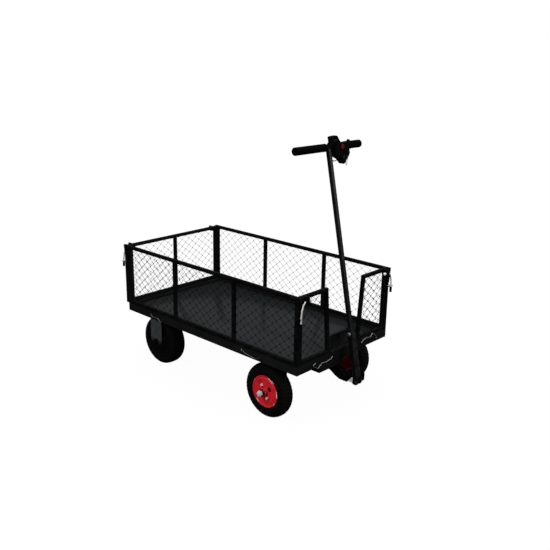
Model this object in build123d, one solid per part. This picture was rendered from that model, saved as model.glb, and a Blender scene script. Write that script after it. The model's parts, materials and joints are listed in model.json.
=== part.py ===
from build123d import *
import math
import os

os.makedirs("parts", exist_ok=True)

# ---------------------------------------------------------------------------
# Driving dimensions, millimetres. While building: X forward from the middle
# of the fence, Y to the left, Z up from the ground. Every piece is moved back
# by X0 at the end, so that the origin lies under the middle of the whole cart.
# ---------------------------------------------------------------------------
FENCE_L = 1192.0        # fence, outside length
FENCE_W = 650.0         # fence, outside width
RAIL_TOP = 618.0        # top of the fence
RIM_TOP = 308.0         # top of the deck rim
SKIRT_BOT = 268.0       # lower edge of the deck skirt
FLOOR_TOP = 295.0       # deck floor, recessed below the rim
FLOOR_T = 3.0
REAR_INSET = 19.0       # side panels overhang the rear skirt by this much
RIM_W = 22.0            # width of the rim's top flange
SHEET = 3.0             # rim sheet

TUBE = 16.0             # fence rails and posts
END_POST = 22.0         # end posts of the side and rear panels, along the panel
FRONT_POST = 16.0       # end posts of the front half panels
BOT_RAIL = 17.0         # bottom rail height
MESH_T = 0.8            # stand-in sheet for the wire mesh
MID_POST_X = 205.0      # side panel, intermediate posts
FRONT_PLANE = 584.0     # middle plane of the front half panels
REAR_PLANE = -584.0
GAP_TOP = 126.0         # front gap, half width at the top
GAP_BOT = 100.0         # and at the rim
SIDE_CLEAR = 1.5        # end panels stand this clear of the side panels
PEG_R = 5.0
SOCKET_R = 5.6
SOCKET_OR = 7.5
PEG_LEN = 30.0
SIDE_PEGS = (-337.0, 320.0)
END_PEGS = 170.0
KICK_TOP = 380.0

WHEEL_R = 128.0
FRONT_AXLE_X = 400.0
FRONT_TRACK = 284.0     # half track
REAR_AXLE_X = -404.0
REAR_TRACK = 232.0
AXLE_R = 8.0
RUN = 0.05              # running clearance, radial
AXLE_END = 356.0

FOOT_X, FOOT_Z = 676.0, 166.0      # tiller hinge
BAR_X, BAR_Z = 459.0, 1192.0       # handlebar centre
BAR_R = 11.0
BAR_HALF = 219.0
GRIP_R = 17.5
YOKE_R = 15.0
YOKE_HALF = 15.2
YOKE_IN = 9.2
YOKE_TOP = 252.0
TILLER_TUBE = 18.0
PIVOT_R = 6.0

LATCH_X = 610.0         # swing latch pin, distance from the middle
LATCH_Z = 600.0
LATCH_R = 4.0
LATCH_Y0 = 268.0        # knob at the inner end
LATCH_Y1 = 322.5        # hanging leg
LATCH_LEG = 527.0
LATCH_TIP = 500.0
KNOB_R = 7.0

X_REAR = -(LATCH_X + KNOB_R)
X_FRONT = FOOT_X + YOKE_R
X0 = (X_REAR + X_FRONT) / 2.0

FX = FENCE_L / 2.0                   # front end of the side panels
RX = -FENCE_L / 2.0
SX0, SX1 = RX + REAR_INSET, FX       # skirt, rear and front
HW = FENCE_W / 2.0
FLOOR_BOT = FLOOR_TOP - FLOOR_T
LEAN = math.degrees(math.atan2(FOOT_X - BAR_X, BAR_Z - FOOT_Z))
TILLER_L = math.hypot(FOOT_X - BAR_X, BAR_Z - FOOT_Z)

# ---------------------------------------------------------------------------
# Small helpers
# ---------------------------------------------------------------------------


def bx(x0, x1, y0, y1, z0, z1):
    return Pos((x0 + x1) / 2, (y0 + y1) / 2, (z0 + z1) / 2) * Box(
        abs(x1 - x0), abs(y1 - y0), abs(z1 - z0))


def cyl_x(y, z, r, x0, x1):
    return Pos((x0 + x1) / 2, y, z) * Rot(0, 90, 0) * Cylinder(r, abs(x1 - x0))


def cyl_y(x, z, r, y0, y1):
    return Pos(x, (y0 + y1) / 2, z) * Rot(90, 0, 0) * Cylinder(r, abs(y1 - y0))


def cyl_z(x, y, r, z0, z1):
    return Pos(x, y, (z0 + z1) / 2) * Cylinder(r, abs(z1 - z0))


def hex_y(x, z, af, y0, y1, turn=0.0):
    sk = RegularPolygon(af / 2 / math.cos(math.pi / 6), 6)
    return Pos(x, y0, z) * Rot(-90, 0, 0) * Rot(0, 0, turn) * extrude(sk, y1 - y0)


def hex_z(x, y, af, z0, z1, turn=0.0):
    sk = RegularPolygon(af / 2 / math.cos(math.pi / 6), 6)
    return Pos(x, y, z0) * Rot(0, 0, turn) * extrude(sk, z1 - z0)


def poly_x(pts, x0, x1):
    """Prism along X with its outline given in (y, z)."""
    face = make_face(Polyline(*[(x0, y, z) for y, z in pts], close=True))
    return extrude(face, x1 - x0, dir=(1, 0, 0))


def poly_y(pts, y0, y1):
    """Prism along Y with its outline given in (x, z)."""
    face = make_face(Polyline(*[(x, y0, z) for x, z in pts], close=True))
    return extrude(face, y1 - y0, dir=(0, 1, 0))


def spin_y(pts):
    """Turned piece about the Y axis, outline in (radius, y)."""
    face = make_face(Polyline(*[(r, y) for r, y in pts], close=True))
    return revolve(face, axis=Axis.Y)


def wire(pts, bend, r):
    """Round wire along straight runs joined by tangent arcs."""
    path = FilletPolyline(*pts, radius=bend)
    d = Vector(*pts[1]) - Vector(*pts[0])
    sec = Plane(origin=pts[0], z_dir=d.normalized()) * Circle(r)
    return sweep(sec, path=path)


def flip(s):
    return mirror(s, about=Plane.XZ)


def both(s):
    """A piece and its mirror image, as two solids."""
    return [s, flip(s)]


NODES = {}


def node(name, *shapes):
    flat = []
    for s in shapes:
        if isinstance(s, (list, tuple)):
            flat += list(s)
        else:
            flat.append(s)
    solids = []
    for s in flat:
        solids += list(s.solids())
    NODES[name] = solids


# ---------------------------------------------------------------------------
# Deck: rim frame of pressed sheet, an upside-down channel with a long outer
# skirt, the floor welded to its inner lip, sockets for the panel pegs inside.
# ---------------------------------------------------------------------------
SOCKETS = []
for px in SIDE_PEGS:
    SOCKETS += [(px, HW - 13.0), (px, -(HW - 13.0))]
for sy in (1, -1):
    SOCKETS += [(FRONT_PLANE, sy * END_PEGS), (SX0 + 13.0, sy * END_PEGS)]

ring = bx(SX0, SX1, -HW, HW, SKIRT_BOT, RIM_TOP)
ring -= bx(SX0 + RIM_W, SX1 - RIM_W, -HW + RIM_W, HW - RIM_W, 0, 999)
cav = bx(SX0 + SHEET, SX1 - SHEET, -HW + SHEET, HW - SHEET, SKIRT_BOT - 1, RIM_TOP - SHEET)
lip = RIM_W - SHEET
cav -= bx(SX0 + lip, SX1 - lip, -HW + lip, HW - lip, 0, 999)
ring -= cav
ring -= (bx(SX0 + lip - 1, SX1 - lip + 1, -HW + lip - 1, HW - lip + 1, 0, FLOOR_BOT))
for sx, sy in SOCKETS:
    ring += cyl_z(sx, sy, SOCKET_OR, RIM_TOP - PEG_LEN - 3, RIM_TOP - SHEET + 0.5)
for sx, sy in SOCKETS:
    ring -= cyl_z(sx, sy, SOCKET_R, 200, 400)
# small holes for the legs of the spring clips
CLIP_R = 1.9
CLIP_OUT = 2.1
CLIP_HOLE = 3.8
side_clip_f = [(262.0, 288.5), (280.0, 288.0), (297.0, 281.5), (330.0, 277.0),
               (356.0, 274.0), (372.0, 283.0), (384.0, 296.0)]
side_clip_r = [(-393.0, 291.5), (-374.0, 278.5), (-354.0, 283.0), (-335.0, 282.0),
               (-314.0, 268.0), (-300.0, 278.0), (-287.0, 292.0)]
end_clip = [(-88.0, 290.0), (-103.0, 281.0), (-132.0, 277.5), (-163.0, 281.0),
            (-176.0, 271.0), (-188.0, 262.0), (-226.0, 287.0), (-203.0, 293.0)]
end_clip_fl = [(125.8, 291.4), (139.4, 303.0), (168.0, 308.0), (193.7, 301.8),
               (211.9, 318.0), (247.7, 289.7), (240.7, 283.7)]
mirror_clip = [(-y, z) for y, z in end_clip]
END_CLIPS = [(1, end_clip), (1, end_clip_fl), (-1, end_clip), (-1, mirror_clip)]
clip_holes = []
for pts in (side_clip_f, side_clip_r):
    for sy in (1, -1):
        clip_holes.append(cyl_y(pts[0][0], pts[0][1], CLIP_HOLE, sy * (HW - 6), sy * (HW + 6)))
for sx, pts in END_CLIPS:
    xe = SX1 if sx > 0 else SX0
    clip_holes.append(cyl_x(pts[0][0], pts[0][1], CLIP_HOLE, xe - 6, xe + 6))
for h in clip_holes:
    ring -= h
node("deck_frame", ring)

floor_x0, floor_x1 = SX0 + RIM_W, SX1 - RIM_W
floor = bx(floor_x0, floor_x1, -HW + RIM_W, HW - RIM_W, FLOOR_BOT, FLOOR_TOP)
node("deck_floor", floor)

# cross members under the floor: shallow channels, open below
CROSS = [(REAR_AXLE_X, 84.0), (-190.0, 40.0), (160.0, 40.0), (FRONT_AXLE_X, 120.0)]
cross = []
for cxm, w in CROSS:
    b = bx(cxm - w / 2, cxm + w / 2, -HW + RIM_W, HW - RIM_W, SKIRT_BOT, FLOOR_BOT)
    b -= bx(cxm - w / 2 + 3, cxm + w / 2 - 3, -HW, HW, SKIRT_BOT - 1, FLOOR_BOT - 3)
    cross.append(b)
# the channels at the axles are boxed: a web plate closes them below
webs = [bx(REAR_AXLE_X - 39, REAR_AXLE_X + 39, sy * 176 if sy > 0 else -288, 288 if sy > 0 else -176,
           SKIRT_BOT, SKIRT_BOT + 3) for sy in (1, -1)]
cross[0] = cross[0] + webs[0] + webs[1]
tt_web = bx(FRONT_AXLE_X - 57, FRONT_AXLE_X + 57, -100, 100, SKIRT_BOT, SKIRT_BOT + 4)
cross[3] = cross[3] + tt_web
KING_R = 8.0
cross[3] -= cyl_z(FRONT_AXLE_X, 0, KING_R, 200, 400)
node("cross_members", cross)

# plate that closes the foot of the front gap, bolted to the rim's inner edge
kick = bx(566.0, 569.0, -GAP_BOT + 4, GAP_BOT - 4, RIM_TOP, KICK_TOP)
kick += bx(566.0, 594.0, -GAP_BOT + 4, GAP_BOT - 4, RIM_TOP, RIM_TOP + 3)
kick += bx(566.0, 578.0, -GAP_BOT + 4, GAP_BOT - 4, KICK_TOP - 3, KICK_TOP)
node("front_kick_plate", kick)

# turntable, fixed half
TT_R = 95.0
tt_up = cyl_z(FRONT_AXLE_X, 0, TT_R, 262.0, SKIRT_BOT)
tt_up -= cyl_z(FRONT_AXLE_X, 0, KING_R, 200, 400)
node("turntable_upper_plate", tt_up)
king = cyl_z(FRONT_AXLE_X, 0, KING_R, 226.0, 279.0)
king += hex_z(FRONT_AXLE_X, 0, 24.0, SKIRT_BOT + 4, 279.0)
king += hex_z(FRONT_AXLE_X, 0, 24.0, 228.0, 239.5)
node("kingpin", king)

# rear forks: two cheeks with open dropouts under a top plate
FORK_IN, FORK_OUT, FORK_T = 176.0, 288.0, 6.0
cheek_pts = [(REAR_AXLE_X - 43, SKIRT_BOT), (REAR_AXLE_X + 43, SKIRT_BOT),
             (REAR_AXLE_X + 43, 146.0), (REAR_AXLE_X + 37, 122.0), (REAR_AXLE_X + 31, 116.0),
             (REAR_AXLE_X - 31, 116.0), (REAR_AXLE_X - 37, 122.0), (REAR_AXLE_X - 43, 146.0)]


def cheek(y0, y1):
    p = poly_y(cheek_pts, y0, y1)
    slot = cyl_y(REAR_AXLE_X, WHEEL_R, AXLE_R + 0.1, y0 - 1, y1 + 1)
    slot += bx(REAR_AXLE_X - AXLE_R - 0.1, REAR_AXLE_X + AXLE_R + 0.1, y0 - 1, y1 + 1, 50, WHEEL_R)
    return p - slot


fork = cheek(FORK_OUT - FORK_T, FORK_OUT) + cheek(FORK_IN, FORK_IN + FORK_T)
fork += bx(REAR_AXLE_X - 43, REAR_AXLE_X + 43, FORK_IN, FORK_OUT, 263.0, SKIRT_BOT)
node("rear_forks", both(fork))

# bolt on each outer fork cheek, with its head outside
fbolt = cyl_y(-410.0, 239.0, 9.0, FORK_OUT, FORK_OUT + 1.5) + hex_y(-410.0, 239.0, 14.0, FORK_OUT + 1.5, FORK_OUT + 7.0)
node("rear_fork_bolts", both(fbolt))

axle_r = cyl_y(REAR_AXLE_X, WHEEL_R, AXLE_R, 160.0, 306.0)
node("rear_axles", both(axle_r))
nuts = []
for y0, y1 in ((FORK_OUT, FORK_OUT + 12.0), (FORK_IN - 12.0, FORK_IN)):
    n = hex_y(REAR_AXLE_X, WHEEL_R, 24.0, y0, y1)
    yw = (y0, y0 + 2.5) if y0 == FORK_OUT else (y1 - 2.5, y1)
    n += cyl_y(REAR_AXLE_X, WHEEL_R, 16.0, *yw)
    n -= cyl_y(REAR_AXLE_X, WHEEL_R, AXLE_R, y0 - 1, y1 + 1)
    nuts += both(n)
node("rear_axle_nuts", nuts)

# battery tray and pack under the middle of the deck
tray = bx(-160.0, 130.0, -150.0, 150.0, 243.0, SKIRT_BOT)
tray -= bx(-157.0, 127.0, -147.0, 147.0, 246.0, 300.0)
for x0, x1 in ((-212.0, -160.0), (130.0, 182.0)):
    tray += bx(x0, x1, -150.0, 150.0, SKIRT_BOT - 3, SKIRT_BOT)
node("battery_box", tray)
pack = bx(-150.0, 120.0, -140.0, 140.0, 246.0, 281.0)
pack = fillet(pack.edges().filter_by(Axis.Z), 8.0)
node("battery_pack", pack)

# shallow box under the front edge: motor controller and charge socket
BOX_HW, BOX_BOT, BOX_STEP = 170.0, 233.0, 253.0
CB0, CB1 = 530.0, SX1 - SHEET - 0.2
cbox = bx(CB0, CB1, -BOX_HW, 0.0, BOX_BOT, 272.0) + bx(CB0, CB1, -1.0, BOX_HW, BOX_STEP, 272.0)
cbox -= bx(CB0 + 2.5, CB1 - 2.5, -BOX_HW + 2.5, -2.5, BOX_BOT + 2.5, 300.0)
cbox -= bx(CB0 + 2.5, CB1 - 2.5, -5.0, BOX_HW - 2.5, BOX_STEP + 2.5, 300.0)
cbox -= cyl_y(CB0 + 32.0, 252.0, 11.0, -BOX_HW - 5, -BOX_HW + 5)
cbox -= cyl_x(-70.0, 252.0, 6.0, CB0 - 5, CB0 + 5)
# bracket strip that carries the box from the floor
cbox += bx(CB0, CB0 + 2.5, -BOX_HW, BOX_HW, 271.0, FLOOR_BOT)
node("controller_box", cbox)
ctrl = bx(CB0 + 6.0, CB1 - 24.0, -152.0, -8.0, BOX_BOT + 2.5, 262.0)
for i in range(8):
    yy = -145.0 + i * 17.0
    ctrl -= bx(CB0, CB1, yy, yy + 8.0, 257.0, 270.0)
node("motor_controller", ctrl)
sock = cyl_y(CB0 + 32.0, 252.0, 10.9, -BOX_HW + 14, -BOX_HW)
sock += cyl_y(CB0 + 32.0, 252.0, 15.0, -BOX_HW - 4.0, -BOX_HW)
sock += cyl_y(CB0 + 32.0, 252.0, 11.5, -BOX_HW - 9.0, -BOX_HW - 4.0)
node("charge_socket", sock)

# spring-wire clips: one leg goes through the skirt, the wave lies along it
clips = []
for pts in (side_clip_f, side_clip_r):
    yo = -(HW + CLIP_OUT)
    run = [(pts[0][0], -(HW - 14.0), pts[0][1])] + [(x, yo, z) for x, z in pts]
    c = wire(run, 3.4, CLIP_R)
    clips += both(c)
for sx, pts in END_CLIPS:
    xe = SX1 if sx > 0 else SX0
    run = [(xe - sx * 13.0, pts[0][0], pts[0][1])] + [(xe + sx * CLIP_OUT, y, z) for y, z in pts]
    clips.append(wire(run, 3.4, CLIP_R))
node("hairpin_clips", clips)

# ---------------------------------------------------------------------------
# Steering: lower turntable plate, axle bracket, axle and drawbar
# ---------------------------------------------------------------------------
tt_lo = cyl_z(FRONT_AXLE_X, 0, TT_R, 250.0, 256.0)
tt_lo += cyl_z(FRONT_AXLE_X, 0, TT_R - 6, 256.0, 261.7) - cyl_z(FRONT_AXLE_X, 0, TT_R - 30, 250.0, 262.0)
tt_lo -= cyl_z(FRONT_AXLE_X, 0, KING_R + RUN, 200, 300)
node("turntable_lower_plate", tt_lo)

SPL = 224.0     # outer face of the bracket's cheeks
STUB_IN = 186.0     # inner face of the plates at the stub axles' inner ends
BEAM_Z0, BEAM_Z1 = 184.0, 216.0     # underside and top of the channel between the cheeks
brk = bx(FRONT_AXLE_X - 40, FRONT_AXLE_X + 40, -SPL, SPL, 243.0, 250.0)
ck_pts = [(FRONT_AXLE_X - 34, 250.0), (FRONT_AXLE_X + 34, 250.0), (FRONT_AXLE_X + 34, 200.0),
          (FRONT_AXLE_X + 22, 112.0), (FRONT_AXLE_X + 12, 105.0), (FRONT_AXLE_X - 12, 105.0),
          (FRONT_AXLE_X - 22, 112.0), (FRONT_AXLE_X - 34, 200.0)]
for sy in (1, -1):
    brk += poly_y(ck_pts, sy * (SPL - 8), sy * SPL)
beam = bx(FRONT_AXLE_X - 17, FRONT_AXLE_X + 17, -SPL + 8, SPL - 8, BEAM_Z0, BEAM_Z1)
beam -= bx(FRONT_AXLE_X - 13, FRONT_AXLE_X + 13, -SPL, SPL, BEAM_Z0 - 9.0, BEAM_Z1 - 4.0)
brk += beam
# inner plates that carry the stub axles with the cheeks
in_pts = [(FRONT_AXLE_X - 17, BEAM_Z0 + 16), (FRONT_AXLE_X + 17, BEAM_Z0 + 16), (FRONT_AXLE_X + 20, 112.0),
          (FRONT_AXLE_X + 12, 105.0), (FRONT_AXLE_X - 12, 105.0), (FRONT_AXLE_X - 20, 112.0)]
for sy in (1, -1):
    brk += poly_y(in_pts, sy * STUB_IN, sy * (STUB_IN + 6))
# upright webs between the beam and the top plate, each side of the kingpin nut
for sy in (1, -1):
    brk += bx(FRONT_AXLE_X - 3, FRONT_AXLE_X + 3, sy * 40, sy * (SPL - 8), BEAM_Z1, 243.0)
brk -= cyl_z(FRONT_AXLE_X, 0, KING_R + RUN, 230, 300)
brk -= cyl_y(FRONT_AXLE_X, WHEEL_R, AXLE_R, -400, 400)
node("axle_bracket", brk)

axle_f = cyl_y(FRONT_AXLE_X, WHEEL_R, AXLE_R, STUB_IN - 6.0, AXLE_END)
axle_f += cyl_y(FRONT_AXLE_X, WHEEL_R, 12.0, SPL, 250.4)
node("front_axle", both(axle_f))

KNUCKLE = 8.8
DB_END = 632.0          # front end of the channel
DB_H = 14.0             # half its height


def db_mid(x):
    return 168.0 + 0.33 * (DB_END - x)


# sloping channel, open below, from under the bracket's top plate down to the foot; its cheeks have a deep belly
db_x0 = FRONT_AXLE_X + 24.0
db_x1 = DB_END - (243.0 - DB_H - 168.0) / 0.33
dbar = poly_y([(db_x0, 243.0), (db_x1, 243.0), (DB_END, db_mid(DB_END) + DB_H), (DB_END, db_mid(DB_END) - DB_H),
               (590.0, 154.5), (561.0, 166.0), (537.0, 181.0), (db_x0, db_mid(db_x0) - DB_H)], -20.0, 20.0)
dbar -= poly_y([(db_x0 - 5, 240.0), (db_x1, 240.0), (DB_END - 4.0, db_mid(DB_END - 4.0) + DB_H - 3.2),
                (DB_END - 4.0, 100.0), (db_x0 - 5, 100.0)], -17.0, 17.0)
# stays from the channel's cheeks down to the beam
stay = poly_y([(FRONT_AXLE_X + 17, BEAM_Z0 + 4), (FRONT_AXLE_X + 17, BEAM_Z1 - 2), (FRONT_AXLE_X + 50, 228.0),
               (FRONT_AXLE_X + 80, 212.0)], 17.0, 20.0)
dbar += stay
dbar += flip(stay)
# plated tongue with the hinge bore; the yoke's cross pin leans on its top
tongue = poly_y([(DB_END - 3.0, 155.0), (DB_END - 3.0, 159.0), (DB_END + 2.0, 159.0), (657.0, 185.0), (671.0, 185.0),
                 (682.0, 175.0), (FOOT_X, FOOT_Z - 13.0), (DB_END + 10, FOOT_Z - 12.0)], -KNUCKLE, KNUCKLE)
tongue += cyl_y(FOOT_X, FOOT_Z, 13.0, -KNUCKLE, KNUCKLE)
dbar += tongue
# ear on the left of the foot
dbar += bx(DB_END - 6.0, 661.0, 18.0, 30.0, 158.0, 172.0)
dbar += poly_y([(DB_END - 4.0, 158.0), (684.0, 160.0), (690.0, 167.0), (690.0, 204.0), (678.0, 208.0),
                (646.0, 186.0), (DB_END - 4.0, 176.0)], 30.0, 36.0)
dbar -= cyl_y(FOOT_X, FOOT_Z, PIVOT_R, -20, 20)
node("drawbar", dbar)

# axle nuts and the tiller's hinge bolt
fast = []
for sy in (1, -1):
    n = hex_y(FRONT_AXLE_X, WHEEL_R, 24.0, sy * 340.0, sy * 352.0)
    n += cyl_y(FRONT_AXLE_X, WHEEL_R, 17.0, sy * 337.8, sy * 340.0)
    n += cyl_y(FRONT_AXLE_X, WHEEL_R, 11.5, sy * 328.6, sy * 337.8)
    n -= cyl_y(FRONT_AXLE_X, WHEEL_R, AXLE_R, sy * 320, sy * 360)
    fast.append(n)
hb = cyl_y(FOOT_X, FOOT_Z, PIVOT_R, -25.0, 27.0)
hb += cyl_y(FOOT_X, FOOT_Z, 12.0, -YOKE_HALF - 3.0, -YOKE_HALF - 0.5)
hb += hex_y(FOOT_X, FOOT_Z, 19.0, -YOKE_HALF - 10.0, -YOKE_HALF - 3.0)
hb += cyl_y(FOOT_X, FOOT_Z, 12.0, YOKE_HALF + 0.5, YOKE_HALF + 3.0)
hb += hex_y(FOOT_X, FOOT_Z, 19.0, YOKE_HALF + 3.0, YOKE_HALF + 11.0)
fast.append(hb)
node("steering_fasteners", fast)

# ---------------------------------------------------------------------------
# Wheels. Turned about Y, outboard side is +Y for the left wheel.
# ---------------------------------------------------------------------------


def tyre(out, inn):
    """Carcass from its outer and inner half outlines, in (radius, distance from the middle plane)."""
    outer = out + [(r, -y) for r, y in reversed(out)]
    inner = [(r, -y) for r, y in inn] + list(reversed(inn))
    return spin_y(outer + inner)


FRONT_OUT = [(71.0, 26.0), (75.5, 27.5), (77.0, 30.0), (86.0, 32.2), (98.0, 33.0), (108.0, 31.8), (116.0, 28.2),
             (122.0, 22.4), (125.8, 15.0), (127.6, 8.0), (WHEEL_R, 3.0)]
FRONT_INN = [(71.0, 18.5), (78.0, 21.5), (88.0, 25.5), (98.0, 26.5), (107.0, 25.2), (113.5, 21.0), (117.5, 14.0),
             (119.5, 6.0)]
REAR_OUT = [(85.0, 33.5), (88.0, 34.6), (89.5, 37.2), (96.0, 39.2), (104.0, 40.0), (113.0, 38.6), (120.0, 34.5),
            (124.8, 27.5), (127.4, 16.5), (WHEEL_R, 5.5)]
REAR_INN = [(85.0, 26.0), (92.0, 28.0), (98.0, 31.5), (105.0, 32.5), (112.0, 30.0), (117.0, 22.5), (119.0, 11.0)]

# rim with a shallow dish on its outer side and a long hub barrel
rim_pts = [
    (72.5, 30.5), (75.5, 30.5), (75.5, 27.5), (71.0, 26.0), (71.0, 18.5), (68.0, 15.5), (68.0, -15.5),
    (71.0, -18.5), (71.0, -26.0), (75.5, -27.5), (75.5, -30.5), (72.5, -30.5), (68.0, -27.5), (68.0, -20.0),
    (65.0, -17.0), (65.0, 23.5), (61.0, 26.5), (19.0, 26.5), (19.0, -33.0), (15.0, -33.0), (15.0, 44.0),
    (19.0, 44.0), (19.0, 30.0), (62.0, 30.0), (66.0, 26.5), (68.0, 27.5)]

RB_PCD = 32.0           # radius of the rim bolts


def bearings():
    out = []
    for y0, y1 in ((32.5, 43.5), (-32.5, -21.5)):
        b = cyl_y(0, 0, 15.0, y0, y1) - cyl_y(0, 0, AXLE_R + RUN, y0 - 1, y1 + 1)
        out.append(b)
    return out


def front_wheel(side, name):
    at = Pos(FRONT_AXLE_X, side * FRONT_TRACK, WHEEL_R)

    def put(s):
        return at * (s if side > 0 else flip(s))

    rim = spin_y(rim_pts)
    # valve window, a quarter turn from the bolts, and the bolt holes
    a_win = math.radians(33.0)
    rim -= cyl_y(30.5 * math.cos(a_win), 30.5 * math.sin(a_win), 10.5, 10, 40)
    bolts = []
    for k in (0, 1):
        a = math.radians(119.5 + 180.0 * k)
        px, pz = RB_PCD * math.cos(a), RB_PCD * math.sin(a)
        rim -= cyl_y(px, pz, 4.0, 10, 40)
        b = cyl_y(px, pz, 4.0, 18.0, 30.0)
        b += hex_y(px, pz, 13.0, 30.0, 36.0)
        b += hex_y(px, pz, 13.0, 20.0, 26.5)
        bolts.append(b)
    node("front_tyre_" + name, put(tyre(FRONT_OUT, FRONT_INN)))
    node("front_rim_" + name, put(rim))
    node("front_rim_bolts_" + name, [put(b) for b in bolts])
    node("front_bearings_" + name, [put(b) for b in bearings()])


front_wheel(1, "left")
front_wheel(-1, "right")

hub_pts = [
    (85.0, 33.5), (85.0, -33.5), (88.0, -34.6), (88.0, -36.5), (82.0, -36.5), (72.0, -33.5), (56.0, -34.0),
    (50.0, -42.0), (26.0, -44.0), (20.0, -46.0), (AXLE_R + RUN, -46.0),
    (AXLE_R + RUN, 46.0), (20.0, 46.0), (26.0, 44.0), (50.0, 42.0), (56.0, 34.0), (72.0, 33.5),
    (82.0, 36.5), (88.0, 36.5), (88.0, 34.6)]


def rear_wheel(side, name):
    at = Pos(REAR_AXLE_X, side * REAR_TRACK, WHEEL_R)
    node("rear_tyre_" + name, at * tyre(REAR_OUT, REAR_INN))
    node("rear_hub_motor_" + name, at * spin_y(hub_pts))


rear_wheel(1, "left")
rear_wheel(-1, "right")

# ---------------------------------------------------------------------------
# Tiller. Built upright over its hinge, then leaned back about it.
# ---------------------------------------------------------------------------
STAND = Pos(FOOT_X, 0, FOOT_Z) * Rot(0, -LEAN, 0)


def lean(s):
    return STAND * s


cheek_y = bx(-12.0, 14.2, YOKE_IN, YOKE_HALF, 0.0, YOKE_TOP) + cyl_y(0, 0, YOKE_R, YOKE_IN, YOKE_HALF)
yoke = cheek_y + flip(cheek_y)
yoke += bx(9.2, 14.2, -YOKE_HALF, YOKE_HALF, 19.0, YOKE_TOP)
yoke += cyl_y(-7.0, 26.0, 4.5, -YOKE_HALF, YOKE_HALF)
yoke -= cyl_y(0, 0, PIVOT_R + RUN, -60, 60)
BOLT_Z = 222.0
yoke -= cyl_y(0, BOLT_Z, 5.0, -60, 60)
node("tiller_yoke", lean(yoke))

h = TILLER_TUBE / 2
tube = bx(-h, h, -h, h, 60.0, TILLER_L - 6.0)
tube -= bx(-h + 2, h - 2, -h + 2, h - 2, 50.0, TILLER_L - 22.0)
tube -= cyl_y(0, BOLT_Z, 5.0, -60, 60)
tube -= cyl_y(0, TILLER_L, BAR_R, -60, 60)
CABLE_Z = 998.0
tube -= cyl_y(0, CABLE_Z, 2.8, 0, 60)
node("tiller_tube", lean(tube))

tb = cyl_y(0, BOLT_Z, 5.0, -YOKE_HALF, YOKE_HALF + 7.5)
tb += cyl_y(0, BOLT_Z, 8.5, -YOKE_HALF - 1.2, -YOKE_HALF) + hex_y(0, BOLT_Z, 14.0, -YOKE_HALF - 6.0, -YOKE_HALF - 1.2)
tb += cyl_y(0, BOLT_Z, 8.5, YOKE_HALF, YOKE_HALF + 1.2) + hex_y(0, BOLT_Z, 14.0, YOKE_HALF + 1.2, YOKE_HALF + 6.5)
node("tiller_bolt", lean(tb))

# The head is upright in the world, round the handlebar centre.
HEAD = Pos(BAR_X, 0, BAR_Z)
hbar = cyl_y(0, 0, BAR_R, -BAR_HALF + 4, BAR_HALF - 4) - cyl_y(0, 0, BAR_R - 2.2, -BAR_HALF, BAR_HALF)
node("handlebar", HEAD * hbar)

lg = cyl_y(0, 0, GRIP_R, -BAR_HALF, -22.0)
lg -= cyl_y(0, 0, BAR_R, -BAR_HALF + 4, 0)
lg = fillet(lg.edges().filter_by(GeomType.CIRCLE).group_by(SortBy.RADIUS)[-1], 3.5)
node("left_grip", HEAD * lg)

TG0 = 151.0
tg = cyl_y(0, 0, GRIP_R, TG0, BAR_HALF)
tg -= cyl_y(0, 0, BAR_R + RUN, TG0 - 1, BAR_HALF - 3.5)
tg = fillet(tg.edges().filter_by(GeomType.CIRCLE).group_by(SortBy.RADIUS)[-1], 3.5)
node("throttle_grip", HEAD * tg)

TH0 = 111.0
th = cyl_y(0, 0, 18.5, TH0, TG0 - 0.6)
th += poly_x([(128.0, 12.0), (132.0, 19.0), (139.0, 25.5), (144.0, 20.0), (149.5, 12.0)], -6.0, 6.0)
th -= cyl_y(0, 0, BAR_R, 100, 160)
node("throttle_housing", HEAD * th)

dh_pts = [(-2.5, 44.0), (10.0, 47.0), (39.5, 48.5), (48.0, 40.0), (59.0, 26.0), (67.0, 19.0), (30.0, 14.0),
          (30.0, 0.0), (-9.0, 0.0), (-6.0, 12.0), (4.5, 21.5)]
dh = poly_x(dh_pts, -6.0, 16.0)
dh -= cyl_y(0, 0, BAR_R, -40, 80)
lens_pts = [(3.0, 41.5), (35.5, 44.0), (50.0, 25.5), (9.0, 23.5)]
dh -= poly_x(lens_pts, 13.5, 20.0)
node("display_housing", HEAD * dh)
node("display_lens", HEAD * poly_x(lens_pts, 13.5, 15.6))

pod_pts = [(34.0, 17.0), (109.0, 17.5), (113.0, 4.0), (117.5, -16.0), (122.0, -29.0), (117.0, -42.0), (106.0, -55.0),
           (98.0, -64.0), (92.0, -72.0), (85.0, -77.0), (77.0, -73.5), (70.0, -66.4), (57.0, -54.6), (38.0, -46.5),
           (16.0, -39.0), (15.0, -10.0)]
POD_X0, POD_X1 = -2.0, 28.0
pod = poly_x(pod_pts, POD_X0, POD_X1)
pod = chamfer(pod.faces().sort_by(Axis.X)[-1].edges(), 3.0)
# clamp half behind the bar
pod += bx(-15.0, POD_X0 + 1.0, 42.0, 104.0, -14.5, 14.5)
pod -= cyl_y(0, 0, BAR_R, 0, 140)
BTN_Y, BTN_Z = 60.0, 1.5
pod -= cyl_x(BTN_Y, BTN_Z, 12.0, 18.0, 40.0)
KEY_Y, KEY_Z = 76.0, -46.0
pod -= cyl_x(KEY_Y, KEY_Z, 4.0 + RUN, 8.0, 40.0)
pod -= cyl_y(14.0, -52.0, 2.8, 40.0, 66.0)
pod -= poly_x(dh_pts, -6.0, 16.0)
pod -= cyl_y(0, 0, 18.5, TH0, 160)
node("control_pod", HEAD * pod)

btn = cyl_x(BTN_Y, BTN_Z, 11.5, 22.5, 35.0)
btn = fillet(btn.edges().filter_by(GeomType.CIRCLE).sort_by(Axis.X)[-1], 3.0)
node("red_button", HEAD * btn)

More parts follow.
